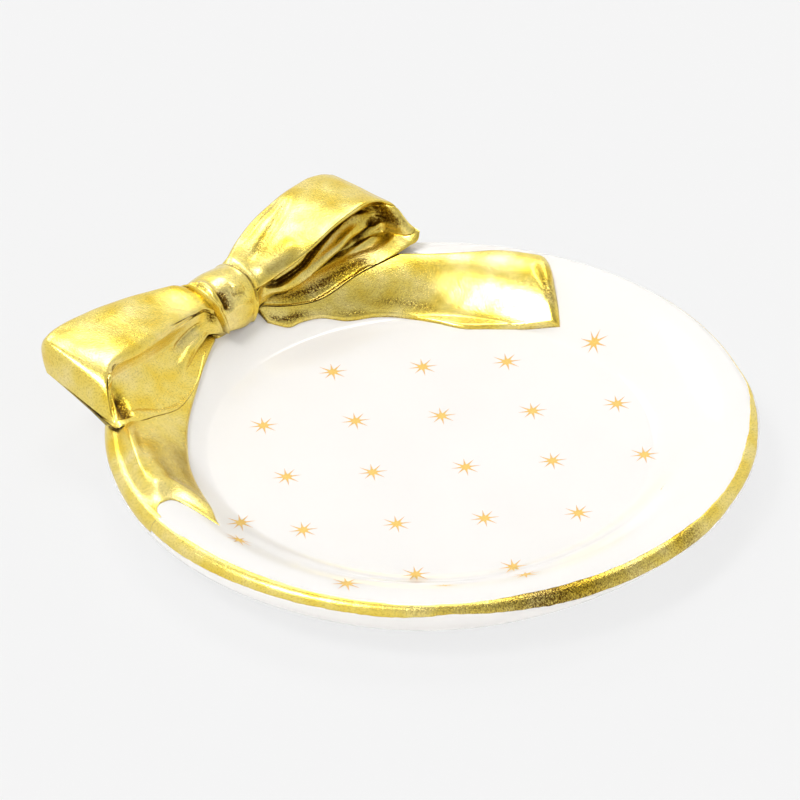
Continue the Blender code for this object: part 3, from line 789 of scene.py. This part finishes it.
def mouth_ring(style, reach, share, count):
    """A loop's hollow section at a share of its reach: y and z of its points."""
    table, pocket, lips, _, pressed, clear = style
    top_lip, top_lean, low_lip, low_lean, undercut_share = at_share(lips, share)
    ty, tz, ly, lz, by, bz, cz, deep = at_share(table, share)
    top = np.array((BOW_RADIUS + LOOP_WIDTH * ty, RIM_HEIGHT + LOOP_RISE * tz))
    low = np.array((BOW_RADIUS + LOOP_WIDTH * ly, RIM_HEIGHT + LOOP_RISE * lz))
    back = np.array((BOW_RADIUS + LOOP_WIDTH * by, RIM_HEIGHT + LOOP_RISE * bz))
    crown = RIM_HEIGHT + LOOP_RISE * cz
    low[1] = max(low[1], loop_rest_height(reach * share, low[0], pressed) + clear)
    opening = top - low
    top_lip, low_lip = np.minimum((top_lip, low_lip), LIP_LIMIT_SHARE * opening[1])
    undercut = np.array((undercut_share * POCKET_DEPTH * deep, 0.0))
    to_back = back[0] - top[0]
    keys = [
        top,
        (top[0] + SHOULDER_SHARES[0] * to_back, top[1] + SHOULDER_SHARES[1] * (crown - top[1])),
        (top[0] + CREASE_SHARE * to_back, crown),
        (top[0] + HEEL_SHARES[0] * to_back, low[1] + HEEL_SHARES[1] * (crown - low[1])),
        back,
        (back[0] - UNDER_HEEL_SHARES[0] * (back[0] - low[0]),
         low[1] + UNDER_HEEL_SHARES[1] * (crown - low[1])),
        (back[0] - UNDER_SHARE * (back[0] - low[0]), low[1]),
        low,
        low + np.array((low_lean, low_lip)) + undercut,
    ]
    for up, depth in pocket:
        keys.append(low + opening * up + np.array((POCKET_DEPTH * deep * depth, 0.0)))
    keys.append(top + np.array((top_lean, -top_lip)) + undercut)
    return closed_curve(keys, count)


def neck_ring(count):
    """The round section that passes under the strap, with points in the mouth's order."""
    share = np.arange(count) / count
    outside = NECK_UPPER_LIP + (NECK_LOWER_LIP - NECK_UPPER_LIP) * share / OUTSIDE_SHARE
    rest = (share - OUTSIDE_SHARE) / (1.0 - OUTSIDE_SHARE)
    inside = NECK_LOWER_LIP + (NECK_UPPER_LIP - 2.0 * math.pi - NECK_LOWER_LIP) * rest
    angle = np.where(share < OUTSIDE_SHARE, outside, inside)
    return np.stack((BOW_RADIUS + NECK_RADIUS * np.cos(angle),
                     KNOT_HEIGHT + NECK_RADIUS * np.sin(angle)), axis=1)


def make_loop(name, node_name, side, reach, style, seed, material):
    """One loop: a neck under the strap that opens into a hollow ribbon with gathers."""
    sections, count = LOOP_SECTIONS, LOOP_POINTS
    gathers, pressed, clear = style[3:]
    neck = neck_ring(count)
    beyond = reach - KNOT_HALF_WIDTH
    places = [LOOP_START]
    places += [KNOT_HALF_WIDTH - NECK_START * n / 3.0 for n in (3, 2, 1)]
    places += [KNOT_HALF_WIDTH + beyond * math.sin(0.5 * math.pi * n / sections)
               for n in range(sections + 1)]
    rings = []
    for place in places:
        share = place / reach
        open_share = float(ease((place - KNOT_HALF_WIDTH + NECK_START) / NECK_BLEND))
        wide = mouth_ring(style, reach, max(share, style[0][0][0]), count)
        y, z = (neck * (1.0 - open_share) + wide * open_share).T
        end = clamp((place - (reach - LOOP_END_ROUND)) / LOOP_END_ROUND)
        slope, level = np.polyfit(y, z, 1)
        middle = slope * y + level
        z = middle + (z - middle) * math.sqrt(1.0 - (LOOP_END_CLOSED * end) ** 2)
        backward = clamp((y - BOW_RADIUS) / LOOP_WIDTH + 0.5)
        above = clamp((z - RIM_HEIGHT) / LOOP_RISE)
        outward = share ** 2 * open_share * backward
        x = np.full(count, place)
        if side < 0.0:
            x = x - (LEFT_BACK_SHORTER + LEFT_UNDER_SHORTER * (1.0 - above)) * outward
        else:
            z = z + RIGHT_BACK_LIFT * above * outward
        rings.append(np.stack((x, y, z), axis=1))
    grid = np.array(rings)
    place = np.repeat(np.array(places)[:, None], count, axis=1)
    round_share = np.repeat((np.arange(count) / count)[None, :], len(places), axis=0)
    girth = np.linalg.norm(np.roll(grid, -1, axis=1) - grid, axis=2).sum(axis=1)[:, None]
    depth = np.zeros(grid.shape[:2])
    brown = np.zeros(grid.shape[:2])
    # A gather's tint is its share of painted shade, brown darkening along its crease
    for line, width, deep, tint in gathers:
        drawn = line_depth(place, round_share, girth, line, width, 1.0)
        depth += deep * drawn
        brown += tint * drawn
    normals = grid_normals(grid, True)
    crown_column = count // 8
    if normals[sections // 2, crown_column, 2] < 0.0:
        normals = -normals
    free = ease((place - KNOT_HALF_WIDTH) / LOOP_FREE_BLEND)
    depth += free * uneven(grid, *LOOP_UNEVEN, seed)
    depth *= ease((reach - place) / LOOP_TIP_FADE)
    grid = grid - normals * depth[..., None]
    first, first_soft = HOLLOW_FLOOR_START
    last, last_soft = HOLLOW_FLOOR_END
    floor = ease((round_share - first) / first_soft) * ease((last - round_share) / last_soft)
    lowest = loop_rest_height(grid[..., 0], grid[..., 1], pressed) + clear * floor
    grid[..., 2] = np.maximum(grid[..., 2], lowest)
    grid[..., 0] *= side
    piece = tube_piece(name, grid, brown, material, "bow_gold")
    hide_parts(node_name)
    return piece


# The tails

# A tail's edges along its length: share of the way to the tip, then the inner edge's and the outer
# edge's place as shares of the way from the dish's middle to the crest of the lip.
RIGHT_EDGE_SHARES = (
    (0.00, 0.810, 0.965),
    (0.05, 0.772, 0.962),
    (0.10, 0.772, 0.960),
    (0.17, 0.765, 0.959),
    (0.25, 0.735, 0.957),
    (0.35, 0.730, 0.953),
    (0.44, 0.716, 0.950),
    (0.55, 0.683, 0.943),
    (0.66, 0.655, 0.936),
    (0.77, 0.674, 0.949),
    (0.86, 0.702, 0.970),
    (1.00, 0.757, 0.980),
)
LEFT_EDGE_SHARES = (
    (0.00, 0.845, 0.965),
    (0.10, 0.815, 0.975),
    (0.25, 0.785, 0.990),
    (0.50, 0.774, 1.018),
    (0.64, 0.781, 1.020),
    (0.78, 0.793, 1.015),
    (0.90, 0.811, 1.010),
    (1.00, 0.850, 1.000),
)
# Where a tail ends, in degrees round the dish from the X axis: share across from the inner edge to
# the outer edge, then the angle. The left tail ends in a swallow's notch.
RIGHT_TIP_SHARES = ((0.0, 6.0), (0.17, 8.1), (0.50, 12.0), (0.82, 15.2), (1.0, 17.5))
LEFT_TIP_SHARES = ((0.0, 8.6), (0.17, 15.6), (0.39, 19.2), (0.65, 19.2), (0.87, 18.0), (1.0, 15.5))

# Folds of a tail, as lines of (millimetres from its start, share across), with width, depth and
# # how much painted shade darkens the gold to brown
RIGHT_FOLDS = (
    (((0.3, 0.10), (2.2, 0.13), (5.0, 0.12), (9.5, 0.10)), 0.9, 0.15, 0.90),
    (((13.0, 0.10), (17.0, 0.09), (20.0, 0.08)), 0.6, 0.10, 0.50),
    (((20.0, 0.20), (26.9, 0.23), (31.0, 0.24), (36.0, 0.25)), 0.9, 0.50, 0.45),
    (((30.0, 0.25), (31.0, 0.50), (33.0, 0.95)), 2.6, 0.45, 0.0),
    (((19.0, 0.15), (21.0, 0.32), (23.0, 0.52)), 2.2, -0.90, 0.0),
    (((59.0, 0.15), (58.6, 0.40), (58.2, 0.65), (58.0, 0.92)), 1.3, 0.0, 0.30),
    (((58.9, 0.22), (57.9, 0.44), (56.8, 0.64), (57.0, 0.82)), 0.6, 0.25, 0.40),
)
LEFT_FOLDS = (
    (((32.0, 0.74), (40.0, 0.75), (48.0, 0.78), (57.0, 0.84)), 1.3, -1.30, 0.0),
    (((34.0, 0.46), (42.0, 0.40), (50.0, 0.32), (58.0, 0.22)), 3.0, 0.55, 0.10),
)


def make_tail(name, node_name, side, edges, tips, folds, seed, material):
    """One tail: a ribbon laid on the wall, from beside the strap to its cut end. The left one is
    pressed out thin at its end and where it meets the lip."""
    sections, count = TAIL_SECTIONS, TAIL_POINTS
    start = KNOT_HALF_WIDTH + TAIL_START_GAP
    rows = []
    spread = 0.5 - 0.5 * np.cos(np.linspace(0.0, math.pi, count))
    tip_angles = np.radians([at_share(tips, across)[0] for across in spread])
    for n in range(sections + 1):
        along = math.sin(0.5 * math.pi * n / sections)
        inner, outer = at_share(edges, along)
        radius = CREST_RADIUS * (inner + (outer - inner) * spread)
        first = np.arccos(start / radius)
        angle = first + (tip_angles - first) * along
        rows.append(np.stack((radius, angle, spread, np.full(count, along)), axis=1))
    radius, angle, across, along = np.moveaxis(np.array(rows), 2, 0)
    crown = np.sin(math.pi * across) ** TAIL_CROWN_POWER
    full = TAIL_EDGE_THICKNESS + (TAIL_THICKNESS - TAIL_EDGE_THICKNESS) * crown
    brown = np.zeros(full.shape)
    # A fold's tint is its share of painted shade, brown darkening along its groove
    for line, wide, deep, tint in folds:
        drawn = line_depth(along * TAIL_LENGTH, across, TAIL_WIDTH, line, wide, 1.0)
        full = full - deep * drawn
        brown += tint * drawn
    swell = tail_swell(radius * np.cos(angle))
    thickness = TAIL_UNDER_LOOP + (full - TAIL_UNDER_LOOP) * swell
    from_outer, to_end = (1.0 - across) * TAIL_WIDTH, (1.0 - along) * TAIL_LENGTH
    thickness = thickness * round_edge(across * TAIL_WIDTH, TAIL_EDGE_ROUND)
    if side < 0.0:
        thickness = thickness * ease(from_outer / LEFT_OUTER_FADE)
        pressed = 1.0 - ease(to_end / LEFT_END_FADE)
        thickness = thickness * (1.0 - (1.0 - LEFT_END_SHARE) * pressed)
        thickness = thickness * round_edge(to_end, LEFT_END_ROUND)
    else:
        thickness = thickness * round_edge(from_outer, TAIL_EDGE_ROUND)
        thickness = thickness * round_edge(to_end, TAIL_END_ROUND)
    out, up = dish_normal(radius)
    layers = []
    for depth in (thickness, -SUNK):
        r = radius + out * depth
        z = dish_height(radius) + up * depth
        layers.append(np.stack((r * np.cos(angle), r * np.sin(angle), z), axis=2))
    upper, under = layers
    bumps = uneven(upper, *TAIL_UNEVEN, seed) * clamp(thickness / TAIL_THICKNESS) * swell
    upper[..., 2] += bumps
    grid = np.concatenate((upper, under[:, ::-1]), axis=1)
    grid[..., 0] *= side
    brown = np.concatenate((brown, brown[:, ::-1]), axis=1)
    piece = tube_piece(name, grid, brown, material, "bow_gold")
    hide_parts(node_name)
    return piece


# The strap

# Dents and lumps of the strap, as lines of (share along from the front, share across from the left
# # edge), with width, depth and how much painted shade darkens the gold to brown
STRAP_MARKS = (
    (((0.42, 0.29), (0.36, 0.28), (0.28, 0.26), (0.19, 0.24)), 0.9, 1.00, 1.20),
    (((0.66, 0.20), (0.51, 0.18), (0.39, 0.15), (0.30, 0.12), (0.22, 0.10)), 0.9, -0.80, 0.0),
    (((0.38, 0.50), (0.37, 0.62), (0.37, 0.74)), 0.9, -0.60, 0.0),
    (((0.335, 0.42), (0.33, 0.56), (0.335, 0.70)), 0.7, 0.50, 0.40),
    (((0.10, 0.20), (0.16, 0.45), (0.12, 0.80)), 1.2, 0.30, 0.0),
    (((0.16, 0.93), (0.30, 0.94), (0.50, 0.94), (0.80, 0.94)), 0.4, 0.45, 0.60),
    (((0.70, 0.115), (0.52, 0.110), (0.36, 0.095)), 0.3, 0.10, 0.30),
)
# The strap's rolled edges: height, place across and width
STRAP_LIPS = ((0.60, -0.90, 0.075), (0.25, 0.88, 0.10))
# Small wrinkles just inside the left edge: first and last place along, how many, depth, place across
# and width
WRINKLES = (0.50, 0.92, 9, 0.14, -0.68, 0.10)
STRAP_SEED = 3


def make_knot(material):
    """The strap: a band with rolled edges that arches over the loops' necks, lumpy from pinching."""
    sections, count = STRAP_SECTIONS, STRAP_POINTS
    rows = []
    for n in range(sections + 1):
        along = n / sections
        spread = math.sin(0.5 * math.pi * min(along / STRAP_FOOT_SHARE, 1.0))
        half = STRAP_FOOT_HALF_WIDTH + (KNOT_HALF_WIDTH - STRAP_FOOT_HALF_WIDTH) * spread
        across = -np.cos(np.linspace(0.0, math.pi, count))
        front = STRAP_FRONT_ANGLE - STRAP_FRONT_LEFT_LIFT * ease(0.5 - 0.5 * across)
        angle = front + (STRAP_BACK_ANGLE - front) * along
        rows.append(np.stack((np.full(count, along), angle, across, half * across), axis=1))
    along, angle, across, x = np.moveaxis(np.array(rows), 2, 0)
    length = STRAP_RADIUS * (STRAP_FRONT_ANGLE - STRAP_BACK_ANGLE)
    edge = (1.0 - np.abs(across)) * KNOT_HALF_WIDTH
    soft = round_edge(edge, STRAP_EDGE_ROUND)
    height = STRAP_THICKNESS + STRAP_BULGE * np.cos(0.5 * math.pi * across) ** 2
    for high, middle, wide in STRAP_LIPS:
        height = height + high * ridge(across, middle, wide)
    brown = np.zeros(height.shape)
    # A mark's tint is its share of painted shade, brown darkening in its dent or groove
    for line, wide, deep, tint in STRAP_MARKS:
        drawn = line_depth(along * length, across * 0.5 + 0.5, 2.0 * KNOT_HALF_WIDTH,
                           [(p * length, r) for p, r in line], wide, 1.0)
        height = height - deep * drawn
        brown += tint * drawn
    first, last, number, deep, middle, wide = WRINKLES
    where = clamp((along - first) / (last - first))
    height = height - (deep * np.cos(2.0 * math.pi * number * where) * np.sin(math.pi * where)
                       * ridge(across, middle, wide))
    inner = STRAP_RADIUS - STRAP_THICKNESS
    layers = []
    for radius in (inner + height * soft, np.full(height.shape, inner - STRAP_UNDER_DEPTH)):
        y = BOW_RADIUS + radius * np.cos(angle)
        z = KNOT_HEIGHT + radius * np.sin(angle)
        z = np.maximum(z, rest_height(x, y, -SUNK))
        layers.append(np.stack((x, y, z), axis=2))
    upper, under = layers
    upper[..., 2] += uneven(upper, *STRAP_UNEVEN, STRAP_SEED)
    grid = np.concatenate((upper, under[:, ::-1]), axis=1)
    brown = np.concatenate((brown, brown[:, ::-1]), axis=1)
    piece = tube_piece("bow_strap", grid, brown, material, "bow_gold")
    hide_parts("bow_knot")
    return piece


# Camera, as it was found from the rim's edges, the near outline and the rows of stars

CAMERA_AZIMUTH = math.radians(-48.5)
CAMERA_ELEVATION = math.radians(34.57)
CAMERA_ROLL = math.radians(-0.73)
CAMERA_DISTANCE = 800.0
CAMERA_AIM = Vector((12.29, 18.62, 0.0))
PICTURE_SIZE = 800.0
PIXELS_PER_MM = 4.9695
SENSOR = 36.0
CLIP_END_METRES = 20.0
# How often the search for a height on the dish is halved
HALVINGS = 24


def camera_axes():
    """The camera's right, up and back directions."""
    sin_a, cos_a = math.sin(CAMERA_AZIMUTH), math.cos(CAMERA_AZIMUTH)
    sin_e, cos_e = math.sin(CAMERA_ELEVATION), math.cos(CAMERA_ELEVATION)
    back = Vector((sin_a * cos_e, -cos_a * cos_e, sin_e))
    level = Vector((cos_a, sin_a, 0.0))
    upward = back.cross(level)
    sin_r, cos_r = math.sin(CAMERA_ROLL), math.cos(CAMERA_ROLL)
    return cos_r * level + sin_r * upward, cos_r * upward - sin_r * level, back


def make_camera():
    right, upward, back = camera_axes()
    data = bpy.data.cameras.new("camera")
    data.sensor_width = SENSOR
    data.lens = PIXELS_PER_MM * CAMERA_DISTANCE * SENSOR / PICTURE_SIZE
    data.clip_end = CLIP_END_METRES
    camera = bpy.data.objects.new("camera", data)
    bpy.context.scene.collection.objects.link(camera)
    place = (CAMERA_AIM + back * CAMERA_DISTANCE) * MM
    turn = Matrix((right, upward, back)).transposed().to_4x4()
    camera.matrix_world = Matrix.Translation(place) @ turn
    bpy.context.scene.camera = camera


def on_dish(pixel):
    """Place on the dish's upper surface under a pixel of the photograph."""
    right, upward, back = camera_axes()
    scale = PIXELS_PER_MM * CAMERA_DISTANCE
    sight = (right * (pixel[0] - PICTURE_SIZE / 2.0) / scale
             - upward * (pixel[1] - PICTURE_SIZE / 2.0) / scale - back)
    eye = CAMERA_AIM + back * CAMERA_DISTANCE
    low, high = FLOOR_HEIGHT, RIM_HEIGHT
    for _ in range(HALVINGS):
        height = 0.5 * (low + high)
        spot = eye + sight * ((height - eye.z) / sight.z)
        if dish_height(math.hypot(spot.x, spot.y)) > height:
            low = height
        else:
            high = height
    return spot


# The printed stars, by their pixels in the photograph
FLOOR_STARS = (
    (332.6, 372.0), (422.6, 367.0), (506.6, 361.8),
    (263.2, 425.7), (355.4, 421.0), (441.3, 416.0), (532.2, 411.1), (616.8, 403.8),
    (286.4, 476.8), (372.5, 472.3), (465.5, 467.1), (552.1, 460.9), (644.2, 454.8),
    (303.0, 530.1), (396.5, 524.0), (484.4, 518.4), (578.2, 513.1),
    (240.5, 522.7), (415.6, 574.5), (513.0, 567.0),
)
# On the wall, and how far the wall squeezes each of them towards a line
WALL_STARS = (
    (594.0, 342.5, 0.0), (239.0, 540.0, 0.25), (346.5, 583.5, 0.0), (444.5, 585.5, 0.80),
    (525.5, 574.5, 0.30), (659.5, 491.5, 0.92),
)
# Most that a star is drawn out, as a multiple of its reach, to look the same to the camera
STAR_STRETCH = 2.0
STAR_RAYS = 8
STAR_RADIUS = 3.15
STAR_CORE = 0.92
STAR_RAY_HALF_WIDTH = 0.20
STAR_TURN = math.radians(11.0)
# How uneven the rays are: turn either way, then least and most share of the reach and of the core
STAR_TURN_UNEVEN = 0.07
STAR_REACH_UNEVEN = (0.90, 1.04)
STAR_CORE_UNEVEN = (0.85, 1.05)
STAR_SEED = 5
# Outline of a ray: share of its reach, of its half width, and how faded
STAR_RAY_POINTS = ((0.42, 1.0, 0.25), (0.66, 0.60, 0.8), (1.0, 0.10, 1.0), (0.66, -0.60, 0.8),
                   (0.42, -1.0, 0.25))


def star_outline():
    """The print's one star, as (angle, reach, share of the way out to a tip): eight uneven rays."""
    dice = random.Random(STAR_SEED)
    outline = []
    for k in range(STAR_RAYS):
        turn = k + dice.uniform(-STAR_TURN_UNEVEN, STAR_TURN_UNEVEN)
        middle = STAR_TURN + 2.0 * math.pi * turn / STAR_RAYS
        tip = STAR_RADIUS * dice.uniform(*STAR_REACH_UNEVEN)
        core = STAR_CORE * dice.uniform(*STAR_CORE_UNEVEN)
        outline.append((middle - math.pi / STAR_RAYS, core, 0.0))
        for reach, width, fade in STAR_RAY_POINTS:
            swing = width * STAR_RAY_HALF_WIDTH / (reach * tip)
            outline.append((middle - swing, reach * tip, fade))
    return outline


def make_stars(material):
    """The star print: rows of one small star, laid on the glaze. The stars of the floor's list look
    the same to the camera, as far as the stretch allows, and those of the wall's list lean with it."""
    points, faces, tips = [], [], []
    right, upward = camera_axes()[:2]
    across_rows = Vector((right.x, right.y)).normalized()
    along_rows = Vector((-across_rows.y, across_rows.x))
    outline = star_outline()
    count = len(outline)
    for star in FLOOR_STARS + WALL_STARS:
        pixel, squeeze = star[:2], star[2:]
        centre = on_dish(pixel)
        radius = math.hypot(centre.x, centre.y)
        up = float(dish_normal(radius)[1])
        outward = Vector((centre.x, centre.y)) / max(radius, 0.001)
        start = len(points)
        for share in (0.0, 0.5, 1.0):
            for angle, reach, tip in outline:
                flat = reach * share * (across_rows * math.cos(angle) + along_rows * math.sin(angle))
                if squeeze:
                    flat -= outward * flat.dot(outward) * (1.0 - up * (1.0 - squeeze[0]))
                    x, y = centre.xy + flat
                else:
                    shift = Vector((flat.x, flat.y, 0.0))
                    spot = on_dish((pixel[0] + PIXELS_PER_MM * shift.dot(right),
                                    pixel[1] - PIXELS_PER_MM * shift.dot(upward)))
                    drawn = spot.xy - centre.xy
                    limit = STAR_STRETCH * flat.length
                    if drawn.length > limit:
                        drawn *= limit / drawn.length
                    x, y = centre.xy + drawn
                points.append((x, y, float(rest_height(x, y, PRINT_FILM))))
                tips.append(tip * share)
        for ring in (0, 1):
            for k in range(count):
                near = start + ring * count
                n = (k + 1) % count
                faces.append((near + k, near + count + k, near + count + n, near + n))
    piece = new_piece("star_print", points, faces, material, "lip_gold")
    set_shares(piece, "tip", tips)
    return piece


# Studio

# Lamps: compass turn from behind the bow to the left, height over the table, spread and strength.
# Neither is mirrored in the gold. The fill lightens the white in front of the bow.
LAMPS = (("key", 45.0, 52.0, 35.0, 0.10), ("fill", 165.0, 40.0, 80.0, 1.00))
# Soft boxes in the surroundings: turn, height, inner and outer angle, strength. The last two take
# light away, as the darker room behind the camera does.
SOFT_BOXES = (
    (68.0, 60.0, 4.0, 11.0, 18.0),
    (-57.0, 58.0, 4.0, 13.0, 7.0),
    (-25.0, 38.0, 4.0, 10.0, 6.0),
    (-174.0, 50.0, 15.0, 60.0, -0.30),
    (-174.0, 64.0, 5.0, 22.0, -0.30),
)
ROOM_LIGHT = 0.36
HORIZON_LIGHT = 0.75
# What the camera and the gold see of the room behind the dish
BACKDROP_LIGHT = 0.98
# Between which heights of a direction the horizon's light passes into the room's
HORIZON_HEIGHTS = (0.15, 0.60)
# The paper's colour, how much of it is shown flat, and the radius of the sheet
PAPER = "#F4F4F4"
PAPER_FLAT_SHARE = 0.85
PAPER_RADIUS_METRES = 3.0
PAPER_SIDES = 96


def direction(turn, height):
    """Unit vector of a compass turn from +Y towards -X, and a height, in degrees."""
    a, e = math.radians(turn), math.radians(height)
    return Vector((-math.sin(a) * math.cos(e), math.cos(a) * math.cos(e), math.sin(e)))


def shown_rays(tree):
    """One for what the camera sees, also in a mirror or through glass, and none for light."""
    ray = add(tree, "LightPath")
    seen = add(tree, "Math", {0: ray.outputs["Is Camera Ray"], 1: ray.outputs["Is Glossy Ray"]},
               operation="ADD")
    return add(tree, "Math", {0: seen.outputs[0], 1: ray.outputs["Is Transmission Ray"]},
               operation="ADD", use_clamp=True).outputs[0]


def make_floor():
    """A pale paper floor. What the camera and the gold see of it is mostly its flat colour, so that
    the dish's shadow stays as faint as in the photograph."""
    bpy.ops.mesh.primitive_circle_add(vertices=PAPER_SIDES, radius=PAPER_RADIUS_METRES,
                                      fill_type="NGON")
    floor = bpy.context.object
    floor.name = "floor_paper"
    material, tree = new_tree("backdrop_matt_paper")
    paper = add(tree, "BsdfDiffuse", {"Color": linear(PAPER)})
    pale = add(tree, "Emission", {"Color": linear(PAPER), "Strength": 1.0})
    flat = add(tree, "Math", {0: shown_rays(tree), 1: PAPER_FLAT_SHARE}, operation="MULTIPLY")
    mix = add(tree, "MixShader", {0: flat.outputs[0], 1: paper.outputs[0], 2: pale.outputs[0]})
    add(tree, "OutputMaterial", {"Surface": mix.outputs[0]})
    floor.data.materials.append(material)


def make_lamps():
    for name, turn, height, spread, strength in LAMPS:
        lamp = bpy.data.lights.new(name, "SUN")
        lamp.angle = math.radians(spread)
        lamp.energy = strength
        sun = bpy.data.objects.new(name, lamp)
        sun.visible_glossy = False
        bpy.context.scene.collection.objects.link(sun)
        sun.rotation_euler = direction(turn, height).to_track_quat("Z", "Y").to_euler()


def make_room():
    """Pale light all round, with soft boxes above and a darker room behind the camera."""
    world = bpy.data.worlds.new("studio")
    world.use_nodes = True
    tree = world.node_tree
    tree.nodes.clear()
    way = add(tree, "TexCoord").outputs["Generated"]
    height = add(tree, "SeparateXYZ", {"Vector": way}).outputs["Z"]
    low, high = HORIZON_HEIGHTS
    level = add(tree, "MapRange", {"Value": height, "From Min": low, "From Max": high,
                                   "To Min": HORIZON_LIGHT, "To Max": ROOM_LIGHT})
    shown = add(tree, "MapRange", {"Value": shown_rays(tree), "To Min": level.outputs["Result"],
                                   "To Max": BACKDROP_LIGHT})
    total = shown.outputs["Result"]
    for turn, lift, inner, outer, strength in SOFT_BOXES:
        facing = add(tree, "VectorMath", {0: way, 1: direction(turn, lift)},
                     operation="DOT_PRODUCT")
        box = add(tree, "MapRange", {"Value": facing.outputs["Value"],
                                     "From Min": math.cos(math.radians(outer)),
                                     "From Max": math.cos(math.radians(inner)),
                                     "To Min": 0.0, "To Max": strength},
                  interpolation_type="SMOOTHSTEP")
        total = add(tree, "Math", {0: total, 1: box.outputs["Result"]},
                    operation="ADD").outputs[0]
    light = add(tree, "Background", {"Color": (1.0, 1.0, 1.0, 1.0), "Strength": total})
    add(tree, "OutputWorld", {"Surface": light.outputs["Background"]})
    bpy.context.scene.world = world
    bpy.context.scene.view_settings.view_transform = "Standard"


def main():
    glaze = white_glaze()
    bow_gold = gold_lustre("gold_lustre_brushed_bow", BOW_GRAIN, BOW_HOLLOW)
    lip_gold = gold_lustre("gold_lustre_brushed_line", LINE_GRAIN, LINE_HOLLOW)
    make_dish(glaze)
    make_gilding(lip_gold)
    make_stars(star_enamel())
    make_loop("ribbon_loop_right", "bow_loop_right", 1.0, RIGHT_REACH, RIGHT_STYLE, 1, bow_gold)
    make_loop("ribbon_loop_left", "bow_loop_left", -1.0, LEFT_REACH, LEFT_STYLE, 2, bow_gold)
    make_tail("ribbon_tail_right", "bow_tail_right", 1.0, RIGHT_EDGE_SHARES, RIGHT_TIP_SHARES,
              RIGHT_FOLDS, 4, bow_gold)
    make_tail("ribbon_tail_left", "bow_tail_left", -1.0, LEFT_EDGE_SHARES, LEFT_TIP_SHARES,
              LEFT_FOLDS, 5, bow_gold)
    make_knot(bow_gold)
    make_camera()
    make_floor()
    make_lamps()
    make_room()


main()
